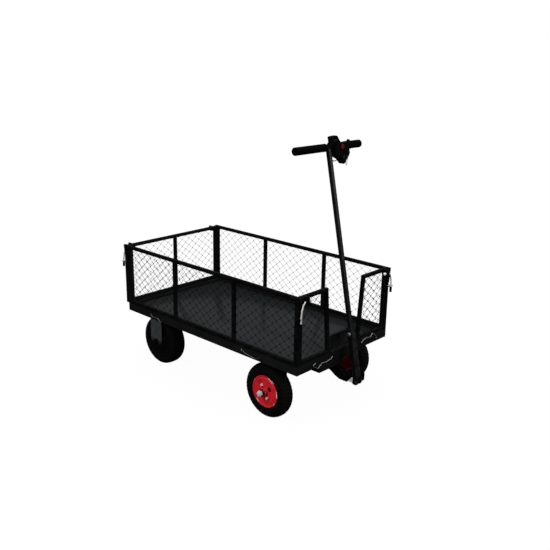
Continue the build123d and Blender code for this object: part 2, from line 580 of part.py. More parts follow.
key = cyl_x(KEY_Y, KEY_Z, 4.0, 10.0, 31.0)
key += bx(31.0, 50.0, KEY_Y - 1.2, KEY_Y + 1.2, KEY_Z - 9.0, KEY_Z + 9.0)
key -= cyl_y(44.0, KEY_Z, 3.0, KEY_Y - 5, KEY_Y + 5)
key += Pos(44.0, KEY_Y, KEY_Z - 17.4) * Rot(0, 0, 28) * Rot(0, 90, 0) * Torus(15.0, 1.0)
node("ignition_key", HEAD * key)

# short control cable, out of the pod's lower left and into the tube
a = math.radians(-LEAN)
hx = FOOT_X + CABLE_Z * math.sin(a)
hz = FOOT_Z + CABLE_Z * math.cos(a)
cable_pts = [(BAR_X + 14.0, 62.0, BAR_Z - 52.0), (BAR_X + 14.0, 50.0, BAR_Z - 52.5), (BAR_X + 13.5, 39.0, BAR_Z - 58.5),
             (BAR_X + 12.5, 28.0, BAR_Z - 61.0), (hx + 1.0, 19.0, hz - 6.0), (hx + 0.3, 12.5, hz - 0.6), (hx, 6.0, hz)]
CABLE_R = 2.0
radii = []
for i in range(1, len(cable_pts) - 1):
    d0 = Vector(*cable_pts[i]) - Vector(*cable_pts[i - 1])
    d1 = Vector(*cable_pts[i + 1]) - Vector(*cable_pts[i])
    turn = math.radians(d0.get_angle(d1))
    radii.append(0.45 * min(d0.length, d1.length) / math.tan(turn / 2))
print("cable radii", [round(r, 1) for r in radii])
cable_path = FilletPolyline(*cable_pts, radius=radii)
d0 = Vector(*cable_pts[1]) - Vector(*cable_pts[0])
cable = sweep(Plane(origin=cable_pts[0], z_dir=d0.normalized()) * Circle(CABLE_R), path=cable_path)
print("cable length", round(cable_path.length, 2), "volume ratio",
      round(cable.volume / (math.pi * CABLE_R ** 2 * cable_path.length), 4))
node("control_cable", cable)

# ---------------------------------------------------------------------------
# Fence panels
# ---------------------------------------------------------------------------
MZ0, MZ1 = RIM_TOP + BOT_RAIL, RAIL_TOP - TUBE


def keeper(sx):
    """Slotted block on the end of the right side panel, for the hanging latch leg."""
    y0 = LATCH_Y1
    k = bx(sx * FX, sx * (LATCH_X + 6.0), -(y0 + 11.0), -(y0 - 15.0), 528.0, 532.0)
    # the slot is wider on its inner side, where the leg curves in as the panel is lifted
    k -= bx(sx * (LATCH_X - 6.5), sx * (LATCH_X + 20.0), -(y0 + 6.5), -(y0 - 12.0), 490.0, 550.0)
    # tapered corner plate under the end of the top rail
    k2 = poly_x([(-HW, RAIL_TOP), (-(HW - 13.0), RAIL_TOP), (-(HW - 13.0), 546.0), (-(HW - 9.0), 546.0), (-(HW - 3.5), 587.0)],
                *sorted((sx * FX, sx * (FX + 8.0))))
    return k + k2


def side_panel():
    """Right-hand side; the left one is its mirror image."""
    y0, y1 = -HW, -HW + TUBE
    f = bx(RX, FX, y0, y1, RAIL_TOP - TUBE, RAIL_TOP)
    f += bx(RX, FX, y0, y1, RIM_TOP, RIM_TOP + BOT_RAIL)
    for x0 in (RX, FX - END_POST):
        f += bx(x0, x0 + END_POST, y0, y1, RIM_TOP, RAIL_TOP)
    for xm in (-MID_POST_X, MID_POST_X):
        f += bx(xm - TUBE / 2, xm + TUBE / 2, y0, y1, RIM_TOP, RAIL_TOP)
    for px in SIDE_PEGS:
        f += cyl_z(px, -(HW - 13.0), PEG_R, RIM_TOP - PEG_LEN, RIM_TOP + BOT_RAIL - 4)
    for sx in (1, -1):
        f += keeper(sx)
    ym = (y0 + y1) / 2
    xs = [RX + END_POST, -MID_POST_X - TUBE / 2, -MID_POST_X + TUBE / 2, MID_POST_X - TUBE / 2,
          MID_POST_X + TUBE / 2, FX - END_POST]
    m = [bx(xs[i], xs[i + 1], ym - MESH_T / 2, ym + MESH_T / 2, MZ0, MZ1) for i in (0, 2, 4)]
    return f, m


f, m = side_panel()
node("right_panel_frame", f)
node("right_panel_mesh", m)
node("left_panel_frame", flip(f))
node("left_panel_mesh", [flip(s) for s in m])

YE = HW - TUBE - SIDE_CLEAR          # outer end of the end panels


def lug(sx, sy):
    """Bracket on an end panel's top rail that carries the latch pin."""
    xr = sx * (FRONT_PLANE + TUBE / 2)
    g = bx(xr, sx * (LATCH_X + 6.8), sy * 277.0, sy * 286.0, 590.0, 618.0)
    g += bx(xr, sx * (abs(xr) + 3.0), sy * 277.0, sy * 300.0, 590.0, 618.0)
    g -= cyl_y(sx * LATCH_X, LATCH_Z, LATCH_R + RUN, sy * 270.0, sy * 310.0)
    return g


def rear_panel():
    x0, x1 = REAR_PLANE - TUBE / 2, REAR_PLANE + TUBE / 2
    f = bx(x0, x1, -YE, YE, RAIL_TOP - TUBE, RAIL_TOP)
    f += bx(x0, x1, -YE, YE, RIM_TOP, RIM_TOP + BOT_RAIL)
    for s in (1, -1):
        f += bx(x0, x1, s * YE, s * (YE - END_POST), RIM_TOP, RAIL_TOP)
        f += lug(-1, s)
        # tongue over the rim with the peg
        f += bx(x1 - 2, SX0 + 20.0, s * END_PEGS - 12, s * END_PEGS + 12, RIM_TOP, RIM_TOP + 5)
        f += cyl_z(SX0 + 13.0, s * END_PEGS, PEG_R, RIM_TOP - PEG_LEN, RIM_TOP + 5)
    f += bx(x0, x1, -TUBE / 2, TUBE / 2, RIM_TOP, RAIL_TOP)
    ys = [-YE + END_POST, -TUBE / 2, TUBE / 2, YE - END_POST]
    m = [bx(REAR_PLANE - MESH_T / 2, REAR_PLANE + MESH_T / 2, ys[i], ys[i + 1], MZ0, MZ1) for i in (0, 2)]
    return f, m


f, m = rear_panel()
node("rear_panel_frame", f)
node("rear_panel_mesh", m)


def front_half():
    """Left half of the front end, with a leaning inner post."""
    x0, x1 = FRONT_PLANE - TUBE / 2, FRONT_PLANE + TUBE / 2
    outer = [(GAP_BOT, RIM_TOP), (YE, RIM_TOP), (YE, RAIL_TOP), (GAP_TOP, RAIL_TOP)]

    def gap_y(z):
        return GAP_BOT + (GAP_TOP - GAP_BOT) * (z - RIM_TOP) / (RAIL_TOP - RIM_TOP)

    inner = [(gap_y(MZ0) + TUBE + 0.6, MZ0), (YE - FRONT_POST, MZ0), (YE - FRONT_POST, MZ1),
             (gap_y(MZ1) + TUBE + 0.6, MZ1)]
    f = poly_x(outer, x0, x1) - poly_x(inner, x0 - 5, x1 + 5)
    f += lug(1, 1)
    f += cyl_z(FRONT_PLANE, END_PEGS, PEG_R, RIM_TOP - PEG_LEN, RIM_TOP + 6)
    m = poly_x(inner, FRONT_PLANE - MESH_T / 2, FRONT_PLANE + MESH_T / 2)
    return f, m


f, m = front_half()
node("front_left_panel_frame", f)
node("front_left_panel_mesh", m)
node("front_right_panel_frame", flip(f))
node("front_right_panel_mesh", flip(m))


def latch():
    """Front left swing latch: knob, pin, hanging leg and grip."""
    x = LATCH_X
    rod = wire([(x, LATCH_Y0, LATCH_Z), (x, 298.0, LATCH_Z), (x, 311.0, 588.0), (x, 319.0, 566.0),
                (x, LATCH_Y1, 540.0), (x, LATCH_Y1, LATCH_TIP + 4)], 20.0, LATCH_R)
    rod += Pos(x, LATCH_Y0, LATCH_Z) * Sphere(KNOB_R)
    grip = cyl_z(x, LATCH_Y1, 6.0, LATCH_TIP, LATCH_LEG)
    grip = fillet(grip.edges().filter_by(GeomType.CIRCLE), 2.0)
    grip -= cyl_z(x, LATCH_Y1, LATCH_R, LATCH_TIP + 4, LATCH_LEG + 5)
    return [rod, grip]


lt = latch()
node("latch_front_left", lt)
node("latch_front_right", [flip(s) for s in lt])
rl = [mirror(s, about=Plane.YZ) for s in lt]
node("latch_rear_left", rl)
node("latch_rear_right", [flip(s) for s in rl])

# ---------------------------------------------------------------------------
# Write every node, moved so that the origin is under the middle of the cart
# ---------------------------------------------------------------------------
BACK = Pos(-X0, 0, 0)
for name, solids in NODES.items():
    moved = [BACK * s for s in solids]
    shape = moved[0] if len(moved) == 1 else Compound(children=moved)
    export_step(shape, os.path.join("parts", name + ".step"))
print("X0", round(X0, 3), "lean", round(LEAN, 4), "tiller", round(TILLER_L, 3), "nodes", len(NODES))
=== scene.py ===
import json
import math

import bmesh
import bpy
import numpy as np
from mathutils import Matrix, Vector


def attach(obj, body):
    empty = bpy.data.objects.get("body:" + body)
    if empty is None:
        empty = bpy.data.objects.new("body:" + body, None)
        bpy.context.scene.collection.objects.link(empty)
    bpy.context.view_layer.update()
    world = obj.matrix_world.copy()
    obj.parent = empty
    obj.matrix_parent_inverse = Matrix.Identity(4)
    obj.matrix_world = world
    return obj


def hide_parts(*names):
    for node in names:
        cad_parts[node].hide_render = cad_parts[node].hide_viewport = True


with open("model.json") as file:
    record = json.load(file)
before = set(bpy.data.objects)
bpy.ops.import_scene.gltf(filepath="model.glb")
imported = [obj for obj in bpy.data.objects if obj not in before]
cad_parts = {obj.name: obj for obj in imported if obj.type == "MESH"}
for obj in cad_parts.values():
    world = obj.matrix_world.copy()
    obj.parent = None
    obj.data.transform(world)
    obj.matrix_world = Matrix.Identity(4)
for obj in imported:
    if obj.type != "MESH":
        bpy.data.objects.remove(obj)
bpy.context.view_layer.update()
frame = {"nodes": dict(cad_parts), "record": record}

SC = bpy.context.scene
X0 = 37.0            # drawing X of the frame's origin, mm
BODY_OF = {n: b_ for b_, ns in frame["record"]["behaviour"]["bodies"].items() for n in ns}


def V(x, y, z):
    """A point of the drawing, in mm, as a point of the frame, in metres."""
    return Vector(((x - X0) / 1000.0, y / 1000.0, z / 1000.0))


# ---------------------------------------------------------------------------
# Camera, floor, light
# ---------------------------------------------------------------------------
cam_data = bpy.data.cameras.new("camera")
cam_data.sensor_width = 36.0
cam_data.sensor_fit = "HORIZONTAL"
cam_data.lens = 736.55 / 550.0 * 36.0
cam_data.clip_end = 200.0
cam = bpy.data.objects.new("camera", cam_data)
SC.collection.objects.link(cam)
yaw, pitch, roll = 2.31559313, 0.29841481, 0.0174038785
d = Vector((math.cos(yaw) * math.cos(pitch), math.sin(yaw) * math.cos(pitch), -math.sin(pitch)))
r = d.cross(Vector((0, 0, 1))).normalized()
u = r.cross(d)
r2 = math.cos(roll) * r + math.sin(roll) * u
u2 = -math.sin(roll) * r + math.cos(roll) * u
rot = Matrix((r2, u2, -d)).transposed()
cam.matrix_world = Matrix.Translation(V(2455.90, -2489.07, 1594.12)) @ rot.to_4x4()
SC.camera = cam

SC.view_settings.view_transform = "Standard"
SC.view_settings.look = "None"

# the short control cable, from the pod's lower left into the tiller tube
LEAN = math.atan2(676.0 - 459.0, 1192.0 - 166.0)
TILLER_L = math.hypot(676.0 - 459.0, 1192.0 - 166.0)
hx, hz = 676.0 - 998.0 * math.sin(LEAN), 166.0 + 998.0 * math.cos(LEAN)
CABLE = [(473.0, 62.0, 1140.0), (473.0, 50.0, 1139.5), (472.5, 39.0, 1133.5), (471.5, 28.0, 1131.0),
         (hx + 1.0, 19.0, hz - 6.0), (hx + 0.3, 12.5, hz - 0.6), (hx, 6.0, hz)]


def new_mat(name):
    m = bpy.data.materials.new(name)
    m.use_nodes = True
    nt = m.node_tree
    nt.nodes.clear()
    out = nt.nodes.new("ShaderNodeOutputMaterial")
    b = nt.nodes.new("ShaderNodeBsdfPrincipled")
    nt.links.new(b.outputs[0], out.inputs[0])
    return m, nt, b


world = bpy.data.worlds.new("studio")
SC.world = world
world.use_nodes = True
wt = world.node_tree
wt.nodes.clear()
w_out = wt.nodes.new("ShaderNodeOutputWorld")
w_bg = wt.nodes.new("ShaderNodeBackground")
w_co = wt.nodes.new("ShaderNodeTexCoord")
w_sep = wt.nodes.new("ShaderNodeSeparateXYZ")
w_ramp = wt.nodes.new("ShaderNodeValToRGB")
w_map = wt.nodes.new("ShaderNodeMapRange")
w_map.inputs["From Min"].default_value = -1.0
wt.links.new(w_co.outputs["Generated"], w_sep.inputs[0])
wt.links.new(w_sep.outputs["Z"], w_map.inputs["Value"])
wt.links.new(w_map.outputs[0], w_ramp.inputs[0])
wt.links.new(w_ramp.outputs[0], w_bg.inputs["Color"])
wt.links.new(w_bg.outputs[0], w_out.inputs[0])
el = w_ramp.color_ramp.elements
el[0].position, el[0].color = 0.0, (0.035, 0.035, 0.036, 1)
el[1].position, el[1].color = 1.0, (0.52, 0.53, 0.55, 1)
for pos, c in ((0.47, 0.04), (0.53, 0.07), (0.62, 0.12), (0.78, 0.32)):
    e = el.new(pos)
    e.color = (c, c, c * 1.03, 1)
w_bg.inputs["Strength"].default_value = 1.0

# pale floor that takes only a faint contact shadow, and a plain white surround
m_floor = bpy.data.materials.new("floor_pale")
m_floor.use_nodes = True
nt = m_floor.node_tree
nt.nodes.clear()
o_ = nt.nodes.new("ShaderNodeOutputMaterial")
mx = nt.nodes.new("ShaderNodeMixShader")
em = nt.nodes.new("ShaderNodeEmission")
df = nt.nodes.new("ShaderNodeBsdfDiffuse")
df.inputs["Color"].default_value = (0.9, 0.9, 0.9, 1)
em.inputs["Strength"].default_value = 1.0
f_co = nt.nodes.new("ShaderNodeTexCoord")
f_len = nt.nodes.new("ShaderNodeVectorMath")
f_len.operation = "LENGTH"
f_rng = nt.nodes.new("ShaderNodeMapRange")
f_rng.interpolation_type = "SMOOTHSTEP"
f_rng.inputs["From Min"].default_value = 0.55
f_rng.inputs["From Max"].default_value = 1.5
f_rng.inputs["To Min"].default_value = 0.03
f_rng.inputs["To Max"].default_value = 0.0
nt.links.new(f_co.outputs["Object"], f_len.inputs[0])
nt.links.new(f_len.outputs["Value"], f_rng.inputs["Value"])
nt.links.new(f_rng.outputs[0], mx.inputs[0])
nt.links.new(em.outputs[0], mx.inputs[1])
nt.links.new(df.outputs[0], mx.inputs[2])
nt.links.new(mx.outputs[0], o_.inputs[0])
bm = bmesh.new()
bmesh.ops.create_circle(bm, cap_ends=True, radius=40.0, segments=96)
me = bpy.data.meshes.new("floor")
bm.to_mesh(me)
bm.free()
floor = bpy.data.objects.new("floor", me)
SC.collection.objects.link(floor)
me.materials.append(m_floor)
floor.location = (0, 0, -0.0005)
floor.visible_glossy = False
floor.visible_diffuse = False

m_dome = bpy.data.materials.new("surround_white")
m_dome.use_nodes = True
nt = m_dome.node_tree
nt.nodes.clear()
o_ = nt.nodes.new("ShaderNodeOutputMaterial")
e_ = nt.nodes.new("ShaderNodeEmission")
e_.inputs["Strength"].default_value = 1.0
nt.links.new(e_.outputs[0], o_.inputs[0])
bm = bmesh.new()
bmesh.ops.create_uvsphere(bm, u_segments=64, v_segments=32, radius=41.0)
me = bpy.data.meshes.new("surround")
bm.to_mesh(me)
bm.free()
dome = bpy.data.objects.new("surround", me)
SC.collection.objects.link(dome)
me.materials.append(m_dome)
for flag in ("visible_diffuse", "visible_glossy", "visible_transmission", "visible_volume_scatter", "visible_shadow"):
    setattr(dome, flag, False)


def area(name, loc, target, size, power, size_y=None, colour=(1, 1, 1), spread=180.0):
    ld = bpy.data.lights.new(name, "AREA")
    ld.energy = power
    ld.color = colour
    ld.shape = "RECTANGLE" if size_y else "SQUARE"
    ld.size = size
    if size_y:
        ld.size_y = size_y
    ld.spread = math.radians(spread)
    ob = bpy.data.objects.new(name, ld)
    SC.collection.objects.link(ob)
    ob.location = loc
    ob.rotation_euler = (Vector(target) - Vector(loc)).to_track_quat("-Z", "Y").to_euler()
    return ob


# the broad lights give no mirror patches in the deck; the front, top and strip lights do
key = area("key", (0.6, -4.6, 3.0), (0, 0, 0.3), 2.4, 165.0)
area("front", (4.6, 1.2, 2.4), (0, 0, 0.4), 3.8, 108.0)
for ob in (key, area("back", (-4.2, 2.6, 3.0), (0, 0, 0.3), 2.6, 34.0), area("left", (-1.6, 4.4, 2.6), (0, 0, 0.3), 2.4, 48.0)):
    ob.visible_glossy = False
area("top", (0.0, 0.0, 5.0), (0, 0, 0), 4.0, 95.0)
area("strip", (4.4, 4.8, 1.55), (0.2, 0, 1.55), 1.6, 24.0, size_y=1.5)

# ---------------------------------------------------------------------------
# Materials. Texture space is the frame itself: every piece sits at the origin.
# ---------------------------------------------------------------------------


def noise(nt, co, scale, detail=3.0, rough=0.5, distort=0.0):
    n = nt.nodes.new("ShaderNodeTexNoise")
    n.inputs["Scale"].default_value = scale
    n.inputs["Detail"].default_value = detail
    n.inputs["Roughness"].default_value = rough
    n.inputs["Distortion"].default_value = distort
    nt.links.new(co, n.inputs["Vector"])
    return n.outputs["Fac"]


def ramp(nt, fac, stops):
    n = nt.nodes.new("ShaderNodeValToRGB")
    e = n.color_ramp.elements
    e[0].position, e[0].color = stops[0][0], (*stops[0][1], 1)
    e[1].position, e[1].color = stops[-1][0], (*stops[-1][1], 1)
    for p, c in stops[1:-1]:
        k = e.new(p)
        k.color = (*c, 1)
    nt.links.new(fac, n.inputs[0])
    return n.outputs[0]


def rng(nt, fac, lo, hi, a=0.3, b_=0.7):
    n = nt.nodes.new("ShaderNodeMapRange")
    n.inputs["From Min"].default_value = a
    n.inputs["From Max"].default_value = b_
    n.inputs["To Min"].default_value = lo
    n.inputs["To Max"].default_value = hi
    nt.links.new(fac, n.inputs["Value"])
    return n.outputs[0]


def mix(nt, fac, a, c):
    n = nt.nodes.new("ShaderNodeMix")
    n.data_type = "RGBA"
    nt.links.new(fac, n.inputs["Factor"])
    for s, v in (("A", a), ("B", c)):
        sock = [i for i in n.inputs if i.name == s and i.type == "RGBA"][0]
        if isinstance(v, tuple):
            sock.default_value = (*v, 1)
        else:
            nt.links.new(v, sock)
    return [o for o in n.outputs if o.type == "RGBA"][0]


def mul(nt, a, c):
    n = nt.nodes.new("ShaderNodeMath")
    n.operation = "MULTIPLY"
    for i, v in enumerate((a, c)):
        if isinstance(v, (int, float)):
            n.inputs[i].default_value = v
        else:
            nt.links.new(v, n.inputs[i])
    return n.outputs[0]


def bump(nt, b, height, strength, dist, prev=None):
    n = nt.nodes.new("ShaderNodeBump")
    n.inputs["Strength"].default_value = strength
    n.inputs["Distance"].default_value = dist
    nt.links.new(height, n.inputs["Height"])
    if prev is not None:
        nt.links.new(prev, n.inputs["Normal"])
    nt.links.new(n.outputs[0], b.inputs["Normal"])
    return n.outputs[0]


def coords(nt, stretch=None):
    c = nt.nodes.new("ShaderNodeTexCoord").outputs["Object"]
    if stretch:
        mp = nt.nodes.new("ShaderNodeMapping")
        mp.inputs["Scale"].default_value = stretch
        nt.links.new(c, mp.inputs["Vector"])
        c = mp.outputs[0]
    return c


def attr(nt, name):
    n = nt.nodes.new("ShaderNodeAttribute")
    n.attribute_name = name
    return n.outputs["Fac"]


def powder(name, base, rough=(0.42, 0.55), spec=0.15, peel=0.10, wear=0.5, chip=(0.035, 0.035, 0.036)):
    """Powder coat: orange peel, cloudy gloss, edges rubbed a little lighter."""
    m, nt, b = new_mat(name)
    co = coords(nt)
    cloud = noise(nt, co, 9.0, 4.0)
    lo = tuple(c * 0.80 for c in base)
    hi = tuple(c * 1.25 for c in base)
    col = ramp(nt, cloud, [(0.3, lo), (0.7, hi)])
    dust = rng(nt, noise(nt, co, 130.0, 6.0, 0.7), 0.0, 0.22, 0.56, 0.85)
    col = mix(nt, dust, col, tuple(c * 2.6 for c in base))
    rub = mul(nt, attr(nt, "edge"), rng(nt, noise(nt, co, 60.0, 5.0, 0.65), 0.0, wear, 0.45, 0.72))
    col = mix(nt, rub, col, chip)
    nt.links.new(col, b.inputs["Base Color"])
    nt.links.new(rng(nt, noise(nt, co, 22.0, 5.0), rough[0], rough[1]), b.inputs["Roughness"])
    b.inputs["Specular IOR Level"].default_value = spec
    bump(nt, b, noise(nt, co, 650.0, 2.0), peel, 0.0006)
    return m


M = {}
M["frame"] = powder("frame_powder", (0.0013, 0.0013, 0.0014), spec=0.012, wear=0.25)
M["skirt"] = powder("skirt_powder", (0.0076, 0.0078, 0.0080), rough=(0.5, 0.65), spec=0.008, wear=0.0)
M["fence"] = powder("fence_powder", (0.0020, 0.00205, 0.0021), rough=(0.42, 0.55), spec=0.045, wear=0.3, chip=(0.018, 0.018, 0.019))
M["kick"] = powder("kick_plate_powder", (0.0046, 0.0048, 0.0051), rough=(0.48, 0.60), spec=0.05)
M["fork"] = powder("fork_powder", (0.038, 0.0405, 0.042), rough=(0.38, 0.5), spec=0.25, chip=(0.12, 0.12, 0.12))
# painted shade darkens the lower ends of the fork cheeks
nt = M["fork"].node_tree
b = [n for n in nt.nodes if n.type == "BSDF_PRINCIPLED"][0]
sep = nt.nodes.new("ShaderNodeSeparateXYZ")
nt.links.new(coords(nt), sep.inputs[0])
painted_low_shade = mul(nt, rng(nt, sep.outputs["Z"], 1.0, 0.0, 0.122, 0.150), rng(nt, noise(nt, coords(nt), 60.0, 4.0), 0.75, 1.0))
nt.links.new(mix(nt, painted_low_shade, b.inputs["Base Color"].links[0].from_socket, (0.0045, 0.0045, 0.0046)), b.inputs["Base Color"])
M["tiller"] = powder("tiller_powder", (0.0038, 0.0042, 0.0046), rough=(0.34, 0.46), spec=0.17)
M["yoke"] = powder("yoke_powder", (0.0036, 0.0038, 0.0041), rough=(0.42, 0.54), spec=0.03)
M["under"] = powder("under_powder", (0.0022, 0.0022, 0.0023), rough=(0.5, 0.65), spec=0.02, wear=0.25)

# deck sheet: smooth dark coat, faint rub marks along the loading direction, a little dust
m, nt, b = new_mat("deck_coat")
co = coords(nt)
cl = noise(nt, co, 5.0, 5.0, 0.55)
col = ramp(nt, cl, [(0.25, (0.0158, 0.0168, 0.0174)), (0.75, (0.0192, 0.0203, 0.0211))])
scr = noise(nt, coords(nt, (6.0, 260.0, 1.0)), 1.0, 6.0, 0.7)
scr_f = rng(nt, scr, 0.0, 0.30, 0.62, 0.80)
col = mix(nt, scr_f, col, (0.028, 0.030, 0.031))
dust = rng(nt, noise(nt, co, 160.0, 6.0, 0.75), 0.0, 0.25, 0.55, 0.85)
col = mix(nt, dust, col, (0.026, 0.027, 0.027))
nt.links.new(col, b.inputs["Base Color"])
nt.links.new(rng(nt, noise(nt, co, 12.0, 6.0, 0.6), 0.13, 0.21), b.inputs["Roughness"])
b.inputs["Specular IOR Level"].default_value = 0.10
bp = bump(nt, b, noise(nt, co, 2.6, 2.0), 0.08, 0.004)
bump(nt, b, noise(nt, co, 520.0, 2.0), 0.05, 0.0004, bp)
M["deck"] = m

# coated mesh wire
M["wire"] = powder("mesh_wire", (0.0020, 0.0020, 0.0021), rough=(0.5, 0.62), spec=0.05, wear=0.0)


def zinc(name, base=(0.70, 0.71, 0.73), rough=(0.24, 0.40), scale=120.0):
    """Bright plated steel: cloudy grain, darker stains and a fine bump."""
    m, nt, b = new_mat(name)
    co = coords(nt)
    v = nt.nodes.new("ShaderNodeTexVoronoi")
    v.inputs["Scale"].default_value = scale * 2.2
    nt.links.new(co, v.inputs["Vector"])
    col = ramp(nt, v.outputs["Distance"], [(0.0, tuple(c * 0.86 for c in base)), (0.7, base)])
    stain = rng(nt, noise(nt, co, 35.0, 5.0, 0.6), 0.0, 0.35, 0.52, 0.75)
    col = mix(nt, stain, col, tuple(c * 0.55 for c in base))
    nt.links.new(col, b.inputs["Base Color"])
    b.inputs["Metallic"].default_value = 1.0
    nt.links.new(rng(nt, noise(nt, co, scale, 4.0), rough[0], rough[1]), b.inputs["Roughness"])
    bump(nt, b, noise(nt, co, 900.0, 2.0), 0.06, 0.0003)
    return m


M["zinc"] = zinc("zinc_bright", (0.66, 0.67, 0.68), (0.30, 0.45))
M["bright"] = zinc("bolt_bright", (0.78, 0.78, 0.785), (0.34, 0.46))
M["clip"] = zinc("clip_spring_wire", (0.33, 0.33, 0.325), (0.36, 0.50))
M["dark_steel"] = zinc("dark_oxide_steel", (0.030, 0.030, 0.032), (0.42, 0.55))
M["key"] = zinc("key_nickel", (0.17, 0.17, 0.17), (0.36, 0.48))

# tyre rubber
m, nt, b = new_mat("tyre_rubber")
co = coords(nt)
col = ramp(nt, noise(nt, co, 24.0, 5.0, 0.6), [(0.3, (0.0022, 0.0022, 0.0023)), (0.7, (0.0040, 0.0040, 0.0042))])
dust = rng(nt, noise(nt, co, 70.0, 6.0, 0.7), 0.0, 0.30, 0.52, 0.80)
col = mix(nt, dust, col, (0.0085, 0.0083, 0.0080))
nt.links.new(col, b.inputs["Base Color"])
nt.links.new(rng(nt, noise(nt, co, 45.0, 4.0), 0.58, 0.78), b.inputs["Roughness"])
b.inputs["Specular IOR Level"].default_value = 0.06
bump(nt, b, noise(nt, co, 420.0, 4.0, 0.6), 0.22, 0.0008)
M["tyre"] = m

# gloss red rim
m, nt, b = new_mat("rim_red_gloss")
co = coords(nt)
col = ramp(nt, noise(nt, co, 18.0, 4.0), [(0.3, (0.58, 0.0115, 0.0195)), (0.7, (0.67, 0.0145, 0.0240))])
grime = rng(nt, noise(nt, co, 55.0, 6.0, 0.7), 0.0, 0.22, 0.55, 0.80)
col = mix(nt, grime, col, (0.30, 0.012, 0.016))
# painted shade: darker red in the pressed pockets and on the disc beside the hub
col = mix(nt, mul(nt, attr(nt, "painted_dish_shade"), rng(nt, noise(nt, co, 40.0, 4.0), 0.55, 0.95)), col, (0.31, 0.0125, 0.0170))
# painted highlights: pale patches on the rolled edge of the lip where glints fall
col = mix(nt, mul(nt, attr(nt, "edge"), rng(nt, noise(nt, co, 150.0, 4.0, 0.6), 0.35, 1.0, 0.36, 0.56)), col, (0.80, 0.775, 0.77))
nt.links.new(col, b.inputs["Base Color"])
nt.links.new(rng(nt, noise(nt, co, 30.0, 5.0), 0.26, 0.38), b.inputs["Roughness"])
b.inputs["Specular IOR Level"].default_value = 0.30
b.inputs["Coat Weight"].default_value = 0.30
b.inputs["Coat Roughness"].default_value = 0.12
bump(nt, b, noise(nt, co, 420.0, 2.0), 0.06, 0.0004)
M["red_rim"] = m


def plastic(name, base, rough=(0.45, 0.6), grain=1600.0, strength=0.12, spec=0.05):
    m, nt, b = new_mat(name)
    co = coords(nt)
    col = ramp(nt, noise(nt, co, 40.0, 4.0), [(0.3, tuple(c * 0.85 for c in base)), (0.7, tuple(c * 1.2 for c in base))])
    rub = mul(nt, attr(nt, "edge"), rng(nt, noise(nt, co, 150.0, 5.0, 0.6), 0.0, 0.4, 0.45, 0.75))
    col = mix(nt, rub, col, tuple(min(1.0, c * 3.0 + 0.004) for c in base))
    nt.links.new(col, b.inputs["Base Color"])
    nt.links.new(rng(nt, noise(nt, co, 70.0, 4.0), rough[0], rough[1]), b.inputs["Roughness"])
    b.inputs["Specular IOR Level"].default_value = spec
    v = nt.nodes.new("ShaderNodeTexVoronoi")
    v.inputs["Scale"].default_value = grain
    nt.links.new(co, v.inputs["Vector"])
    bump(nt, b, v.outputs["Distance"], strength, 0.0003)
    return m


M["plastic"] = plastic("moulded_black", (0.0011, 0.0011, 0.0012), rough=(0.5, 0.64), spec=0.02)
M["latch"] = plastic("latch_plating", (0.52, 0.52, 0.51), rough=(0.4, 0.55), grain=700.0, strength=0.06, spec=0.4)
M["cap"] = plastic("pivot_cap", (0.80, 0.80, 0.785), rough=(0.35, 0.5), grain=700.0, strength=0.05, spec=0.5)
M["plated"] = plastic("dull_plating", (0.60, 0.60, 0.585), rough=(0.4, 0.55), grain=700.0, strength=0.06, spec=0.4)
M["plastic_grey"] = plastic("moulded_grey", (0.030, 0.034, 0.036), rough=(0.35, 0.5), spec=0.15)
M["grip"] = plastic("grip_rubber", (0.0013, 0.0013, 0.0014), rough=(0.62, 0.78), grain=900.0, strength=0.2, spec=0.025)
M["red_plastic"] = plastic("switch_red", (0.075, 0.0048, 0.0040), rough=(0.36, 0.48), strength=0.03, spec=0.05)
M["hub"] = powder("hub_motor_black", (0.0026, 0.0026, 0.0028), rough=(0.45, 0.56), wear=0.3, spec=0.05)
M["cable"] = plastic("cable_sheath", (0.004, 0.004, 0.0042), rough=(0.5, 0.62), grain=2500.0, strength=0.05, spec=0.05)

m, nt, b = new_mat("display_lens")
co = coords(nt)
nt.links.new(ramp(nt, noise(nt, co, 60.0, 3.0), [(0.3, (0.0012, 0.0014, 0.0016)), (0.7, (0.0022, 0.0025, 0.0028))]), b.inputs["Base Color"])
nt.links.new(rng(nt, noise(nt, co, 220.0, 5.0, 0.7), 0.16, 0.3, 0.4, 0.8), b.inputs["Roughness"])
b.inputs["Specular IOR Level"].default_value = 0.012
M["lens"] = m

# ---------------------------------------------------------------------------
# Mesh builders. Drawing millimetres go in, metres come out.
# ---------------------------------------------------------------------------


def finish_mesh(name, bm, mats, body, angle=32.0):
    me = bpy.data.meshes.new(name)
    bmesh.ops.recalc_face_normals(bm, faces=bm.faces[:])
    bm.to_mesh(me)
    bm.free()
    me.shade_smooth()
    me.set_sharp_from_angle(angle=math.radians(angle))
    for mt in mats if isinstance(mats, (list, tuple)) else [mats]:
        me.materials.append(mt)
    ob = bpy.data.objects.new(name, me)
    SC.collection.objects.link(ob)
    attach(ob, body)
    return ob


def piece(cad, bm, mats, angle=32.0):
    """A finished mesh that stands for one CAD node."""
    ob = finish_mesh(cad + "_v", bm, mats, BODY_OF[cad], angle)
    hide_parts(cad)
    return ob


def edge_layer(bm):
    return bm.verts.layers.float.get("edge") or bm.verts.layers.float.new("edge")


